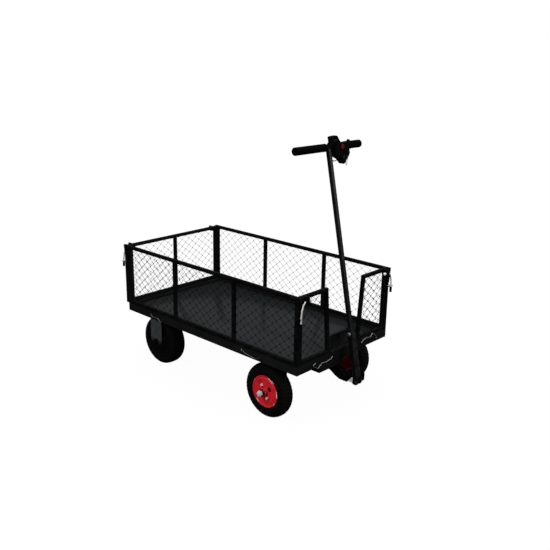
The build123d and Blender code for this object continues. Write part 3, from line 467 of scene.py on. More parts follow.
def sweep(bm, pts, rad, n=12, mat=0, scale=None):
    """Round tube along points (frame metres), with parallel-transported rings and closed ends."""
    pts = [Vector(p) for p in pts]
    t = []
    for i in range(len(pts)):
        t.append((pts[min(i + 1, len(pts) - 1)] - pts[max(i - 1, 0)]).normalized())
    ref = Vector((0, 0, 1)) if abs(t[0].z) < 0.9 else Vector((1, 0, 0))
    nrm = t[0].cross(ref).normalized()
    rings = []
    for i, p in enumerate(pts):
        if i:
            ax = t[i - 1].cross(t[i])
            if ax.length > 1e-9:
                nrm = Matrix.Rotation(t[i - 1].angle(t[i]), 3, ax.normalized()) @ nrm
        nrm = (nrm - t[i] * nrm.dot(t[i])).normalized()
        bi = t[i].cross(nrm)
        rr = rad * (scale[i] if scale else 1.0)
        rings.append([bm.verts.new(p + (nrm * math.cos(2 * math.pi * k / n) + bi * math.sin(2 * math.pi * k / n)) * rr)
                      for k in range(n)])
    for a, c in zip(rings, rings[1:]):
        for k in range(n):
            bm.faces.new((a[k], a[(k + 1) % n], c[(k + 1) % n], c[k])).material_index = mat
    for ring in (rings[0], rings[-1]):
        bm.faces.new(ring).material_index = mat
    return rings


def arc_path(pts, rad, seg=6):
    """Straight runs joined by arcs of one radius; points in, points out."""
    pts = [Vector(p) for p in pts]
    out = [pts[0]]
    for a, p, c in zip(pts, pts[1:], pts[2:]):
        d1, d2 = (a - p).normalized(), (c - p).normalized()
        ang = d1.angle(d2)
        if ang > math.pi - 1e-3:
            out.append(p)
            continue
        cut_ = min(rad / math.tan(ang / 2), 0.48 * (a - p).length, 0.48 * (c - p).length)
        p1, p2 = p + d1 * cut_, p + d2 * cut_
        for k in range(seg + 1):
            s = k / seg
            out.append(p1 * (1 - s) ** 2 + p * 2 * s * (1 - s) + p2 * s ** 2)
    out.append(pts[-1])
    return out


def turned(bm, prof, origin, axis, segs=64, mat=0, closed=False, ref=None):
    """Turned about an axis through origin (frame metres); profile of (radius, along) in mm.
    mat is one index, or one for each run of the profile."""
    axis = Vector(axis).normalized()
    a = Vector(ref) if ref else axis.orthogonal()
    a = (a - axis * a.dot(axis)).normalized()
    c_ = axis.cross(a)
    rings = []
    for rr, t in prof:
        o = origin + axis * (t / 1000.0)
        if rr < 1e-6:
            rings.append([bm.verts.new(o)])
        else:
            rings.append([bm.verts.new(o + (a * math.cos(2 * math.pi * k / segs) + c_ * math.sin(2 * math.pi * k / segs))
                                       * (rr / 1000.0)) for k in range(segs)])
    pairs = [(i, i + 1) for i in range(len(rings) - 1)] + ([(len(rings) - 1, 0)] if closed else [])
    for i, j in pairs:
        p, q = rings[i], rings[j]
        mi = mat[i] if isinstance(mat, (list, tuple)) else mat
        for k in range(segs):
            k1 = (k + 1) % segs
            vs = [p[k if len(p) > 1 else 0], p[k1 if len(p) > 1 else 0], q[k1 if len(q) > 1 else 0], q[k if len(q) > 1 else 0]]
            vs = [v for n_, v in enumerate(vs) if v not in vs[:n_]]
            if len(vs) > 2:
                bm.faces.new(vs).material_index = mi
    if not closed:
        for i, ring in ((0, rings[0]), (len(rings) - 2, rings[-1])):
            if len(ring) > 1:
                bm.faces.new(ring).material_index = mat[i] if isinstance(mat, (list, tuple)) else mat
    return rings


def hexa(bm, origin, axis, af, h, mat=0, ref=None, both_ends=False):
    """Hexagon head or nut with its corners turned off."""
    rr = af / 2 / math.cos(math.pi / 6)
    c_ = min(0.09 * af, 0.3 * h)
    prof = [(rr * 0.90, 0.0), (rr, c_ * 0.55)] if both_ends else [(rr, 0.0)]
    prof += [(rr, h - c_ * 0.55), (rr * 0.90, h)]
    turned(bm, prof, origin, axis, 6, mat, ref=ref or (1, 0, 0) if abs(Vector(axis).x) < 0.9 else (0, 0, 1))


def soften(prof, rad, seg=3, closed=True):
    """Rounds the corners of a profile by a small arc."""
    n = len(prof)
    out = []
    for i in range(n):
        if not closed and i in (0, n - 1):
            out.append(prof[i])
            continue
        a, p, c = Vector(prof[i - 1]), Vector(prof[i]), Vector(prof[(i + 1) % n])
        d1, d2 = a - p, c - p
        if d1.length < 1e-6 or d2.length < 1e-6:
            continue
        cut_ = min(rad, 0.4 * d1.length, 0.4 * d2.length)
        p1, p2 = p + d1.normalized() * cut_, p + d2.normalized() * cut_
        for k in range(seg + 1):
            s = k / seg
            q = p1 * (1 - s) ** 2 + p * 2 * s * (1 - s) + p2 * s ** 2
            out.append((q.x, q.y))
    return out


def smooth_profile(pts, n):
    """n points evenly spaced along a smooth curve through the given ones."""
    P = [np.array(p, float) for p in pts]
    P = [2 * P[0] - P[1]] + P + [2 * P[-1] - P[-2]]
    dense = []
    for p0, p1, p2, p3 in zip(P, P[1:], P[2:], P[3:]):
        t0 = 0.0
        t1 = t0 + np.linalg.norm(p1 - p0) ** 0.5
        t2 = t1 + np.linalg.norm(p2 - p1) ** 0.5
        t3 = t2 + np.linalg.norm(p3 - p2) ** 0.5
        for k in range(10):
            t = t1 + (t2 - t1) * k / 10
            a1 = (t1 - t) / (t1 - t0) * p0 + (t - t0) / (t1 - t0) * p1
            a2 = (t2 - t) / (t2 - t1) * p1 + (t - t1) / (t2 - t1) * p2
            a3 = (t3 - t) / (t3 - t2) * p2 + (t - t2) / (t3 - t2) * p3
            b1 = (t2 - t) / (t2 - t0) * a1 + (t - t0) / (t2 - t0) * a2
            b2 = (t3 - t) / (t3 - t1) * a2 + (t - t1) / (t3 - t1) * a3
            dense.append((t2 - t) / (t2 - t1) * b1 + (t - t1) / (t2 - t1) * b2)
    dense.append(P[-2])
    D = np.array(dense)
    s = np.concatenate([[0], np.cumsum(np.linalg.norm(np.diff(D, axis=0), axis=1))])
    q = np.linspace(0, s[-1], n)
    return np.stack([np.interp(q, s, D[:, 0]), np.interp(q, s, D[:, 1])], axis=1)


def cut(ob, cutters):
    """Takes other meshes out of a piece for good."""
    for c in cutters:
        md = ob.modifiers.new("cut", "BOOLEAN")
        md.operation = "DIFFERENCE"
        md.solver = "EXACT"
        md.object = c
    bpy.context.view_layer.update()
    me = bpy.data.meshes.new_from_object(ob.evaluated_get(bpy.context.evaluated_depsgraph_get()))
    ob.modifiers.clear()
    old = ob.data
    me.name = old.name + "_cut"
    ob.data = me
    bpy.data.meshes.remove(old)
    for c in cutters:
        md = c.data
        bpy.data.objects.remove(c)
        bpy.data.meshes.remove(md)
    me.shade_smooth()
    me.set_sharp_from_angle(angle=math.radians(32.0))


def loose(bm):
    """A plain mesh used only to cut another one."""
    me = bpy.data.meshes.new("cutter")
    bmesh.ops.recalc_face_normals(bm, faces=bm.faces[:])
    bm.to_mesh(me)
    bm.free()
    ob = bpy.data.objects.new("cutter", me)
    SC.collection.objects.link(ob)
    return ob


def bevelled(cad, mats, width, segs=2, angle=35.0, min_len=3.0, pick=None, shade=32.0, extra=None, foot=None, skip=None):
    """The CAD piece with its sharp edges broken; broken edges are marked for wear."""
    bm = bmesh.new()
    bm.from_mesh(frame["nodes"][cad].data)
    bmesh.ops.remove_doubles(bm, verts=bm.verts[:], dist=2e-6)
    bmesh.ops.dissolve_limit(bm, angle_limit=0.008, use_dissolve_boundaries=False, verts=bm.verts[:], edges=bm.edges[:])
    lay = edge_layer(bm)
    sel = [e for e in bm.edges if e.is_manifold and e.calc_face_angle(0.0) > math.radians(angle)
           and e.calc_length() > min_len / 1000.0
           and not (foot is not None and max(v.co.z for v in e.verts) < foot / 1000.0)
           and not (skip and all(skip(v.co * 1000.0) for v in e.verts))]
    if sel:
        res = bmesh.ops.bevel(bm, geom=sel, offset=width / 1000.0, offset_type="OFFSET", segments=segs, profile=0.5,
                              affect="EDGES", clamp_overlap=False)
        for f in res["faces"]:
            for v in f.verts:
                v[lay] = 1.0
    for f in bm.faces:
        f.material_index = 0
        if pick:
            c = f.calc_center_median() * 1000.0
            f.material_index = pick(c.x + X0, c.y, c.z, f.normal)
    if extra:
        extra(bm)
    return piece(cad, bm, mats, shade)


# ---------------------------------------------------------------------------
# Control cable: a tube round the line of its curve
# ---------------------------------------------------------------------------
cu = bpy.data.curves.new("cable_line", "CURVE")
cu.dimensions = "3D"
sp = cu.splines.new("NURBS")
sp.points.add(len(CABLE) - 1)
for q, p in zip(sp.points, CABLE):
    q.co = (*V(*p), 1.0)
sp.order_u = 3
sp.use_endpoint_u = True
sp.resolution_u = 16
line = bpy.data.objects.new("cable_line", cu)
SC.collection.objects.link(line)
bpy.context.view_layer.update()
lm = bpy.data.meshes.new_from_object(line.evaluated_get(bpy.context.evaluated_depsgraph_get()))
route = [v.co.copy() for v in lm.vertices]
bpy.data.objects.remove(line)
bpy.data.curves.remove(cu)
bpy.data.meshes.remove(lm)
bm = bmesh.new()
sweep(bm, route, 0.002, 16)
cable = piece("control_cable", bm, M["cable"], 60.0)

# ---------------------------------------------------------------------------
# Pressed, welded and machined pieces: CAD shapes with broken edges
# ---------------------------------------------------------------------------
YAX, ZAX, XAX = Vector((0, 1, 0)), Vector((0, 0, 1)), Vector((1, 0, 0))
for cad, mt, w in (
        ("deck_frame", "skirt", 1.2), ("cross_members", "under", 0.8), ("deck_floor", "deck", 0.6),
        ("rear_forks", "fork", 1.2), ("battery_box", "under", 0.8), ("controller_box", "skirt", 0.8),
        ("axle_bracket", "under", 1.2), ("tiller_tube", "tiller", 1.6), ("motor_controller", "plastic", 0.8),
        ("battery_pack", "plastic", 1.5), ("turntable_upper_plate", "under", 0.8), ("turntable_lower_plate", "under", 0.8),
        ("handlebar", "tiller", 0.5)):
    # the rim stays square under the rear panel, so that the two close without a slit
    bevelled(cad, M[mt], w, skip=lambda c: c.x + X0 < -574.0 and c.z > 306.0)


def screw_dome(bm, at, axis, rad, mat=0, h=0.45):
    turned(bm, [(rad, 0.0), (rad, rad * 0.12), (rad * 0.86, rad * h * 0.75), (rad * 0.55, rad * h), (0.0, rad * h * 1.08)],
           at, axis, 20, mat)


def kick_screws(bm):
    for y in (-80.0, 80.0):
        for z in (326.0, 362.0):
            screw_dome(bm, V(569.0, y, z), XAX, 5.0, 1)


bevelled("front_kick_plate", [M["kick"], M["dark_steel"]], 0.8, extra=kick_screws)
bevelled("drawbar", [M["frame"], M["plated"]], 1.0,
         pick=lambda x, y, z, n: 1 if (x > 634.0 and abs(y) < 9.5 and abs(n.y) > 0.5) else 0)
bevelled("tiller_yoke", M["yoke"], 1.4)
for p in ("right", "left", "rear", "front_right", "front_left"):
    bevelled(p + "_panel_frame", [M["fence"], M["latch"]], 1.3, foot=309.0,
             pick=lambda x, y, z, n: 1 if 526.0 < z < 534.0 and abs(y) > 309.0 and abs(x) > 597.5 and not (x > 0 > y) else 0)

# ---------------------------------------------------------------------------
# Fasteners
# ---------------------------------------------------------------------------
bm = bmesh.new()
for s in (1, -1):
    hexa(bm, V(-410.0, s * 289.5, 239.0), YAX * s, 14.0, 5.5)
    turned(bm, [(9.0, 0.0), (9.0, 1.1), (8.5, 1.5)], V(-410.0, s * 288.0, 239.0), YAX * s, 32)
piece("rear_fork_bolts", bm, M["zinc"])

bm = bmesh.new()
for s in (1, -1):
    for y0, sg in ((288.0, 1), (176.0, -1)):
        turned(bm, [(16.0, 0.0), (16.0, 2.0), (15.4, 2.5)], V(-404.0, s * y0, 128.0), YAX * s * sg, 40)
        hexa(bm, V(-404.0, s * (y0 + sg * 2.5), 128.0), YAX * s * sg, 24.0, 9.5)
piece("rear_axle_nuts", bm, M["hub"])

bm = bmesh.new()
for s in (1, -1):
    prof = [(7.2, 160.0), (8.0, 160.9)]
    prof += [(7.5 if k % 2 else 8.0, 161.3 + 0.6 * k) for k in range(7)]
    prof += [(8.0, 166.0), (8.0, 299.5)] + [(7.5 if k % 2 else 8.0, 300.2 + 0.6 * k) for k in range(8)]
    prof += [(8.0, 305.1), (7.2, 306.0)]
    turned(bm, prof, V(-404.0, 0, 128.0), YAX * s, 32)
piece("rear_axles", bm, M["hub"])

bm = bmesh.new()
prof = [(7.2, 180.0), (8.0, 180.8), (8.0, 224.0), (11.4, 224.0), (12.0, 224.6), (12.0, 249.8), (11.4, 250.4), (8.0, 250.4),
        (8.0, 350.5)]
prof += [(7.4 if k % 2 else 8.0, 351.2 + 0.55 * k) for k in range(7)] + [(7.9, 355.2), (7.0, 356.0)]
for s in (1, -1):
    turned(bm, prof, V(400.0, 0, 128.0), YAX * s, 32, [0 if y > 340.0 else 1 for _, y in prof])
piece("front_axle", bm, [M["latch"], M["under"]])

bm = bmesh.new()
for s in (1, -1):
    c = V(400.0, 0, 128.0)
    turned(bm, [(11.5, 328.6), (11.5, 337.8)], c, YAX * s, 32, 1)
    turned(bm, [(16.4, 337.8), (17.0, 338.2), (17.0, 339.6), (16.4, 340.0)], c, YAX * s, 40, 1)
    hexa(bm, V(400.0, s * 340.0, 128.0), YAX * s, 24.0, 12.0, 0)
hb = V(676.0, 0, 166.0)
turned(bm, [(5.4, -25.0), (6.0, -24.2), (6.0, 26.2), (5.4, 27.0)], hb, YAX, 28, 1)
for s, y0, h_ in ((-1, 15.7, 7.0), (1, 15.7, 8.0)):
    turned(bm, [(12.0, y0), (12.0, y0 + 2.1), (11.5, y0 + 2.5)], hb, YAX * s, 32, 1)
    hexa(bm, V(676.0, s * (y0 + 2.5), 166.0), YAX * s, 19.0, h_, 1)
piece("steering_fasteners", bm, [M["latch"], M["dark_steel"]])

SN, CS = math.sin(LEAN), math.cos(LEAN)


def on_tiller(a, y, t):
    """A point a mm ahead of the tiller's line and t mm up it."""
    return V(676.0 + a * CS - t * SN, y, 166.0 + a * SN + t * CS)


bm = bmesh.new()
for s, h_ in ((-1, 4.8), (1, 5.3)):
    turned(bm, [(8.5, 15.2), (8.5, 16.1), (8.1, 16.4)], on_tiller(0, 0, 222.0), YAX * s, 28)
    hexa(bm, on_tiller(0, s * 16.4, 222.0), YAX * s, 14.0, h_)
turned(bm, [(5.0, -15.2), (5.0, 22.0), (4.4, 22.7)], on_tiller(0, 0, 222.0), YAX, 24)
piece("tiller_bolt", bm, M["bright"])

bm = bmesh.new()
turned(bm, [(8.0, 226.0), (8.0, 279.0)], V(400.0, 0, 0), ZAX, 32)
hexa(bm, V(400.0, 0, 272.0), ZAX, 24.0, 7.0)
hexa(bm, V(400.0, 0, 228.0), ZAX, 24.0, 11.5, both_ends=True)
piece("kingpin", bm, M["zinc"])

# charge socket with a ribbed screw cap
bm = bmesh.new()
turned(bm, [(10.9, -14.0), (10.9, 0.0), (15.0, 0.0), (15.0, 3.2), (14.2, 4.0), (11.5, 4.0)]
       + [(11.5 - 0.7 * (k % 2), 4.4 + 0.6 * k) for k in range(7)] + [(11.3, 8.4), (10.4, 9.0), (6.0, 9.0), (5.4, 8.5), (0.0, 8.5)],
       V(562.0, -170.0, 252.0), -YAX, 40)
piece("charge_socket", bm, M["plastic"])

# ---------------------------------------------------------------------------
# Wheels
# ---------------------------------------------------------------------------
FRONT_OUT = [(71.0, 26.0), (75.5, 27.5), (77.0, 30.0), (86.0, 32.2), (98.0, 33.0), (108.0, 31.8), (116.0, 28.2),
             (122.0, 22.4), (125.8, 15.0), (127.6, 8.0), (128.0, 3.0)]
FRONT_INN = [(71.0, 18.5), (78.0, 21.5), (88.0, 25.5), (98.0, 26.5), (107.0, 25.2), (113.5, 21.0), (117.5, 14.0),
             (119.5, 6.0)]
REAR_OUT = [(85.0, 33.5), (88.0, 34.6), (89.5, 37.2), (96.0, 39.2), (104.0, 40.0), (113.0, 38.6), (120.0, 34.5),
            (124.8, 27.5), (127.4, 16.5), (128.0, 5.5)]
REAR_INN = [(85.0, 26.0), (92.0, 28.0), (98.0, 31.5), (105.0, 32.5), (112.0, 30.0), (117.0, 22.5), (119.0, 11.0)]
STEPS = 8


def step(x, a, b_):
    t = min(1.0, max(0.0, (x - a) / (b_ - a)))
    return t * t * (3 - 2 * t)


def tyre_piece(cad, centre, out, inn, pitches, rows, shoulder, edge, rings):
    """Carcass with skewed shoulder blocks, two channels round the crown and ribs on the side walls."""
    prof = smooth_profile(out + [(r_, -y) for r_, y in reversed(out)], rows)
    tan = np.gradient(prof, axis=0)
    nrm = np.stack([-tan[:, 1], tan[:, 0]], axis=1)
    nrm /= np.linalg.norm(nrm, axis=1)[:, None]
    cols = pitches * STEPS
    pitch_a = 2 * math.pi / pitches
    bm = bmesh.new()
    grid = []
    for (rr, y), (nr, ny) in zip(prof, nrm):
        w = abs(y)
        tread = rr > edge - 6.0
        off = pitch_a * (0.25 * max(-1.0, min(1.0, y / shoulder)) + (0.012 * (w - shoulder) * (1 if y > 0 else -1) if w > shoulder else 0.0))
        off = off if tread else 0.0
        fade = step(rr, edge - 2.5, edge + 2.0)
        ring_h = sum(h_ * (1 - step(abs(rr - r0), 0.6, 1.8)) for r0, h_ in rings) if rr < edge - 2 else 0.0
        row = []
        for k in range(cols):
            ph = k % STEPS
            dep = 0.0
            if w > shoulder - 1.2:
                dep = 4.2 * fade if ph in (5, 6, 7) else 0.0
                if w < shoulder + 1.4:
                    dep = 3.0
            elif w < shoulder * 0.9 and ph in (1, 2, 3):
                dep = 4.0
            dep -= ring_h
            r_, y_ = min(128.0, rr - nr * dep), y - ny * dep
            a = 2 * math.pi * k / cols + off
            row.append(bm.verts.new(centre + Vector((r_ * math.cos(a), y_, r_ * math.sin(a))) / 1000.0))
        grid.append(row)
    for rr, y in [(r_, -y) for r_, y in inn] + list(reversed(inn)):
        grid.append([bm.verts.new(centre + Vector((rr * math.cos(2 * math.pi * k / cols), y, rr * math.sin(2 * math.pi * k / cols)))
                                  / 1000.0) for k in range(cols)])
    for i in range(len(grid)):
        p, q = grid[i], grid[(i + 1) % len(grid)]
        for k in range(cols):
            k1 = (k + 1) % cols
            bm.faces.new((p[k], p[k1], q[k1], q[k]))
    return piece(cad, bm, M["tyre"], 38.0)


def front_wheel(side, name):
    c = V(400.0, side * 284.0, 128.0)
    ax = YAX * side
    tyre_piece("front_tyre_" + name, c, FRONT_OUT, FRONT_INN, 44, 96, 10.0, 117.0, ((84.0, 0.5), (110.0, 0.5)))
    # rim: pressed disc with a shallow dish, rolled edges, long hub barrel
    pts = [(72.5, 30.5), (75.5, 30.5), (75.5, 27.5), (71.0, 26.0), (71.0, 18.5), (68.0, 15.5), (68.0, -15.5),
           (71.0, -18.5), (71.0, -26.0), (75.5, -27.5), (75.5, -30.5), (72.5, -30.5), (68.0, -27.5), (68.0, -20.0),
           (65.0, -17.0), (65.0, 23.5), (61.0, 26.2), (57.5, 26.25), (54.0, 26.3), (51.4, 25.65), (48.7, 24.98), (46.0, 24.3),
           (43.0, 24.3), (40.5, 24.3), (19.0, 24.3), (19.0, -33.0), (15.0, -33.0), (15.0, 44.0), (19.0, 44.0), (19.0, 27.8),
           (40.5, 27.8), (43.0, 27.8), (46.0, 27.8), (48.7, 28.51), (51.4, 29.22), (54.0, 29.9), (57.5, 29.95), (62.0, 30.0),
           (66.0, 26.5), (68.0, 27.5)]
    bm = bmesh.new()
    turned(bm, soften(pts, 1.1, 3), c, ax, 112, 0, closed=True)
    rim = piece("front_rim_" + name, bm, [M["red_rim"], M["tyre"]])
    a = math.radians(33.0)
    p = c + Vector((30.5 * math.cos(a), 0, 30.5 * math.sin(a))) / 1000.0
    bm = bmesh.new()
    turned(bm, [(10.5, 10.0), (10.5, 40.0)], p, ax, 40)
    cut(rim, [loose(bm)])
    # dark rubber bung behind the valve opening: painted shade that fills the opening where the shaded inside would show
    bm = bmesh.new()
    bm.from_mesh(rim.data)
    # two shallow pressed pockets; painted shade darkens the pockets and the disc beside the hub, and painted highlights
    # put pale patches on the rolled edge where glints fall
    lay, dish_shade_layer = edge_layer(bm), bm.verts.layers.float.new("painted_dish_shade")
    for v in bm.verts:
        q = (v.co - c) * 1000.0
        rr, al, th = math.hypot(q.x, q.z), side * q.y, math.degrees(math.atan2(q.z, q.x))
        if 23.5 < al < 30.6 and 20.0 < rr < 63.0:
            near = min(abs((th - a0 + 180.0) % 360.0 - 180.0) * math.pi / 180.0 * rr for a0 in (133.0, -73.0))
            pk = (1 - step(near, 12.0, 18.0)) * step(rr, 40.6, 44.5) * (1 - step(rr, 56.0, 60.5))
            v.co -= ax * (0.0018 * pk)
            # painted shade in the pockets, and on the disc where the hub's shadow falls
            v[dish_shade_layer] = max(0.9 * pk, 0.5 * (1 - step(rr, 26.0, 40.0)) * step(math.cos(math.radians(th - 75.0)), 0.0, 0.7))
        # painted highlights: pale patches on the lip at the angles where glints fall
        if rr > 68.5 and al > 27.6:
            v[lay] = max(h_ * (1 - step(abs(th - a0), w_ * 0.6, w_)) for a0, w_, h_ in ((60.0, 17.0, 0.8), (6.0, 14.0, 1.0), (-37.0, 4.0, 0.6),
                                                                                  (148.0, 3.0, 0.3), (-128.0, 8.0, 0.35)))
    # dark bung inside the valve opening: painted shade
    turned(bm, [(10.4, 24.4), (10.4, 26.6), (9.6, 27.0), (3.4, 27.0), (3.0, 27.6), (2.4, 27.7)], p, ax, 32, 1)
    bm.to_mesh(rim.data)
    bm.free()
    bm = bmesh.new()
    for k in (0, 1):
        a = math.radians(119.5 + 180.0 * k)
        p = c + Vector((32.0 * math.cos(a), 0, 32.0 * math.sin(a))) / 1000.0
        turned(bm, [(8.6, 27.7), (8.6, 29.4), (8.1, 30.0)], p, ax, 28, 1)
        hexa(bm, p + ax * 0.030, ax, 11.0, 6.0)
        turned(bm, [(4.0, 16.5), (4.0, 27.9)], p, ax, 20)
        hexa(bm, p + ax * 0.0185, ax, 13.0, 5.9, both_ends=True)
    piece("front_rim_bolts_" + name, bm, [M["latch"], M["red_rim"]])
    bm = bmesh.new()
    for y0, y1 in ((32.5, 43.5), (-32.5, -21.5)):
        turned(bm, [(8.05, y0), (8.05, y1), (10.4, y1), (10.7, y1 - 0.6), (12.4, y1 - 0.6), (12.7, y1), (15.0, y1), (15.0, y0),
                    (12.7, y0), (12.4, y0 + 0.6), (10.7, y0 + 0.6), (10.4, y0)], c, ax, 48,
               [0, 0, 0, 1, 0, 0, 0, 0, 0, 1, 0, 0], closed=True)
    piece("front_bearings_" + name, bm, [M["zinc"], M["dark_steel"]])


front_wheel(1, "left")
front_wheel(-1, "right")

hub_pts = [(85.0, 33.5), (85.0, -33.5), (88.0, -34.6), (88.0, -36.5), (82.0, -36.5), (72.0, -33.5), (56.0, -34.0),
           (50.0, -42.0), (26.0, -44.0), (20.0, -46.0), (8.05, -46.0),
           (8.05, 46.0), (20.0, 46.0), (26.0, 44.0), (50.0, 42.0), (56.0, 34.0), (72.0, 33.5),
           (82.0, 36.5), (88.0, 36.5), (88.0, 34.6)]
for side, name in ((1, "left"), (-1, "right")):
    c = V(-404.0, side * 232.0, 128.0)
    tyre_piece("rear_tyre_" + name, c, REAR_OUT, REAR_INN, 44, 100, 13.0, 119.0, ((97.0, 0.5), (114.0, 0.5)))
    bm = bmesh.new()
    turned(bm, soften(hub_pts, 1.4, 3), c, YAX, 112, 0, closed=True)
    for s in (1, -1):
        for k in range(8):
            a = math.pi * (k + 0.5) / 4
            p = c + Vector((64.0 * math.cos(a), s * 33.4, 64.0 * math.sin(a))) / 1000.0
            turned(bm, [(4.2, 0.0), (4.2, 3.4), (3.7, 3.9), (2.2, 3.9), (2.0, 2.0), (0.0, 2.0)], p, YAX * s, 16, 1)
        # raised ribs on the side cover
        for k in range(8):
            a = math.pi * k / 4
            q = Vector((math.cos(a), 0, math.sin(a)))
            p0, p1 = c + q * 0.030 + YAX * s * 0.0428, c + q * 0.047 + YAX * s * 0.0413
            sweep(bm, [p0, p0 * 0.5 + p1 * 0.5, p1], 0.0022, 8)
    piece("rear_hub_motor_" + name, bm, [M["hub"], M["dark_steel"]])

# ---------------------------------------------------------------------------
# Latches and spring clips
# ---------------------------------------------------------------------------
for sx, fr in ((1, "front"), (-1, "rear")):
    for sy, lr in ((1, "left"), (-1, "right")):
        x = sx * 610.0
        run = [V(x, sy * y, z) for y, z in ((268.0, 600.0), (298.0, 600.0), (311.0, 588.0), (319.0, 566.0), (322.5, 540.0),
                                            (322.5, 503.0))]
        bm = bmesh.new()
        sweep(bm, arc_path(run, 0.020, 8), 0.0034, 20)
        ball = [(7.0 * math.sin(math.pi * k / 14), 7.0 * math.cos(math.pi * k / 14)) for k in range(15)]
        ball[0], ball[-1] = (0.0, 7.0), (0.0, -7.0)
        turned(bm, ball, V(x, sy * 265.5, 600.0), YAX, 28, 2)
        prof = [(3.0, 500.0), (5.2, 500.4), (6.0, 501.6)]
        # ribbed grip, a short end cap at the front right corner; dark sleeve beside the pivot
        sleeve = [V(x, sy * 276.5, 600.0), V(x, sy * 288.0, 600.0), V(x, sy * 299.0, 599.6)]
        sweep(bm, sleeve, 0.0047, 20, 1)
        ribs = 3 if sx > 0 and sy < 0 else 15
        end = 503.4 + 1.5 * ribs
        prof += [(6.0 - 0.5 * (k % 2), 503.4 + 1.5 * k) for k in range(ribs)] + [(6.0, end - 0.5), (5.2, end + 0.8), (3.7, end + 1.1)]
        turned(bm, prof, V(x, sy * 322.5, 0), ZAX, 28, 1)
        piece("latch_%s_%s" % (fr, lr), bm, [M["latch"], M["grip"], M["cap"]], 40.0)

side_f = [(262.0, 288.5), (280.0, 288.0), (297.0, 281.5), (330.0, 277.0), (356.0, 274.0), (372.0, 283.0), (384.0, 296.0)]
side_r = [(-393.0, 291.5), (-374.0, 278.5), (-354.0, 283.0), (-335.0, 282.0), (-314.0, 268.0), (-300.0, 278.0),
          (-287.0, 292.0)]
end_c = [(-88.0, 290.0), (-103.0, 281.0), (-132.0, 277.5), (-163.0, 281.0), (-176.0, 271.0), (-188.0, 262.0),
         (-226.0, 287.0), (-203.0, 293.0)]
end_fl = [(125.8, 291.4), (139.4, 303.0), (168.0, 308.0), (193.7, 301.8), (211.9, 318.0), (247.7, 289.7), (240.7, 283.7)]
bm = bmesh.new()
runs = []
for pts in (side_f, side_r):
    for sy in (1, -1):
        runs.append([V(pts[0][0], sy * 311.0, pts[0][1])] + [V(x, sy * 327.1, z) for x, z in pts])
for sx, xe, pts in ((1, 596.0, end_c), (1, 596.0, end_fl), (-1, -577.0, end_c), (-1, -577.0, [(-y, z) for y, z in end_c])):
    runs.append([V(xe - sx * 13.0, pts[0][0], pts[0][1])] + [V(xe + sx * 2.1, y, z) for y, z in pts])
for run in runs:
    sweep(bm, arc_path(run, 0.0042, 5), 0.0019, 12)
sweep(bm, [V(598.1, 139.6, 303.4), V(598.1, 134.0, 308.5), V(598.1, 129.2, 313.6)], 0.0019, 12)
piece("hairpin_clips", bm, M["clip"], 50.0)

# ---------------------------------------------------------------------------
# Handlebar head
# ---------------------------------------------------------------------------
BARX, BARZ = 459.0, 1192.0


def H(x, y, z):
    return V(BARX + x, y, BARZ + z)


def grip_profile(y0, y1, bore, flange_in):
    """Ribbed rubber grip from its open end y0 to its closed end y1, as (radius, along)."""
    s = 1 if y1 > y0 else -1
    ln = abs(y1 - y0)
    prof = [(bore, 0.0), (15.5, 0.0), (17.0, 0.6), (17.5, 1.8), (17.5, flange_in)]
    k = flange_in + 1.2
    while k < ln - 12.0:
        prof += [(16.7, k), (16.7, k + 1.4), (17.4, k + 2.0), (17.4, k + 4.2)]
        k += 5.0
    prof += [(16.9, ln - 10.5), (17.5, ln - 9.5), (17.5, ln - 3.6), (17.1, ln - 1.6), (15.8, ln - 0.3), (14.0, ln), (8.0, ln),
             (7.0, ln - 1.2), (0.0, ln - 1.2)]
    return [(r_, y0 + s * t) for r_, t in prof]


for cad, y0, y1, fl in (("left_grip", -22.0, -219.0, 9.0), ("throttle_grip", 151.0, 219.0, 5.0)):
    bm = bmesh.new()
    turned(bm, grip_profile(y0, y1, 11.06, fl), H(0, 0, 0), YAX, 56)
    piece(cad, bm, M["grip"], 40.0)

bm = bmesh.new()
bevelled("throttle_housing", [M["plastic"], M["dark_steel"]], 1.2, segs=2, min_len=0.4, angle=40.0)
bevelled("display_housing", [M["plastic"], M["dark_steel"]], 1.6, segs=3, min_len=0.6, angle=20.0)


def pod_extra(bm):
    for y, z in ((44.0, -30.0), (110.0, -26.0), (87.0, -67.0)):
        screw_dome(bm, H(28.0, y, z), XAX, 3.4, 1)
    # bezels round the switch and the lock
    turned(bm, [(11.9, 26.0), (11.9, 30.4), (12.6, 31.0), (14.0, 30.4), (14.8, 28.6), (14.8, 26.0)], H(0, 60.0, 1.5), XAX, 48, 0, closed=True)
    turned(bm, [(4.3, 26.0), (4.3, 30.0), (5.0, 30.6), (8.6, 30.6), (9.6, 29.8), (9.6, 26.0)], H(0, 76.0, -46.0), XAX, 48, 1, closed=True)


bevelled("control_pod", [M["plastic"], M["dark_steel"]], 1.2, segs=2, min_len=0.6, angle=28.0, extra=pod_extra)
bm = bmesh.new()
lens = [(3.0, 41.5), (35.5, 44.0), (50.0, 25.5), (9.0, 23.5)]
mid = Vector((sum(p[0] for p in lens) / 4, sum(p[1] for p in lens) / 4))
rows_ = []
for x_, k in ((13.5, 1.0), (15.0, 1.0), (15.6, 0.955), (15.3, 0.86)):
    outl = soften(lens, 3.0, 4)
    rows_.append([bm.verts.new(H(x_, mid.x + (p[0] - mid.x) * k, mid.y + (p[1] - mid.y) * k)) for p in outl])
for p, q in zip(rows_, rows_[1:]):
    for k in range(len(p)):
        bm.faces.new((p[k], p[(k + 1) % len(p)], q[(k + 1) % len(p)], q[k]))
bm.faces.new(rows_[0])
bm.faces.new(rows_[-1])
piece("display_lens", bm, M["lens"], 40.0)

bm = bmesh.new()
turned(bm, [(11.0, 22.5), (11.5, 23.0), (11.5, 32.2), (10.9, 33.8), (9.4, 34.8), (7.6, 35.0), (5.0, 34.5), (0.0, 34.2)],
       H(0, 60.0, 1.5), XAX, 56)
piece("red_button", bm, M["red_plastic"], 40.0)

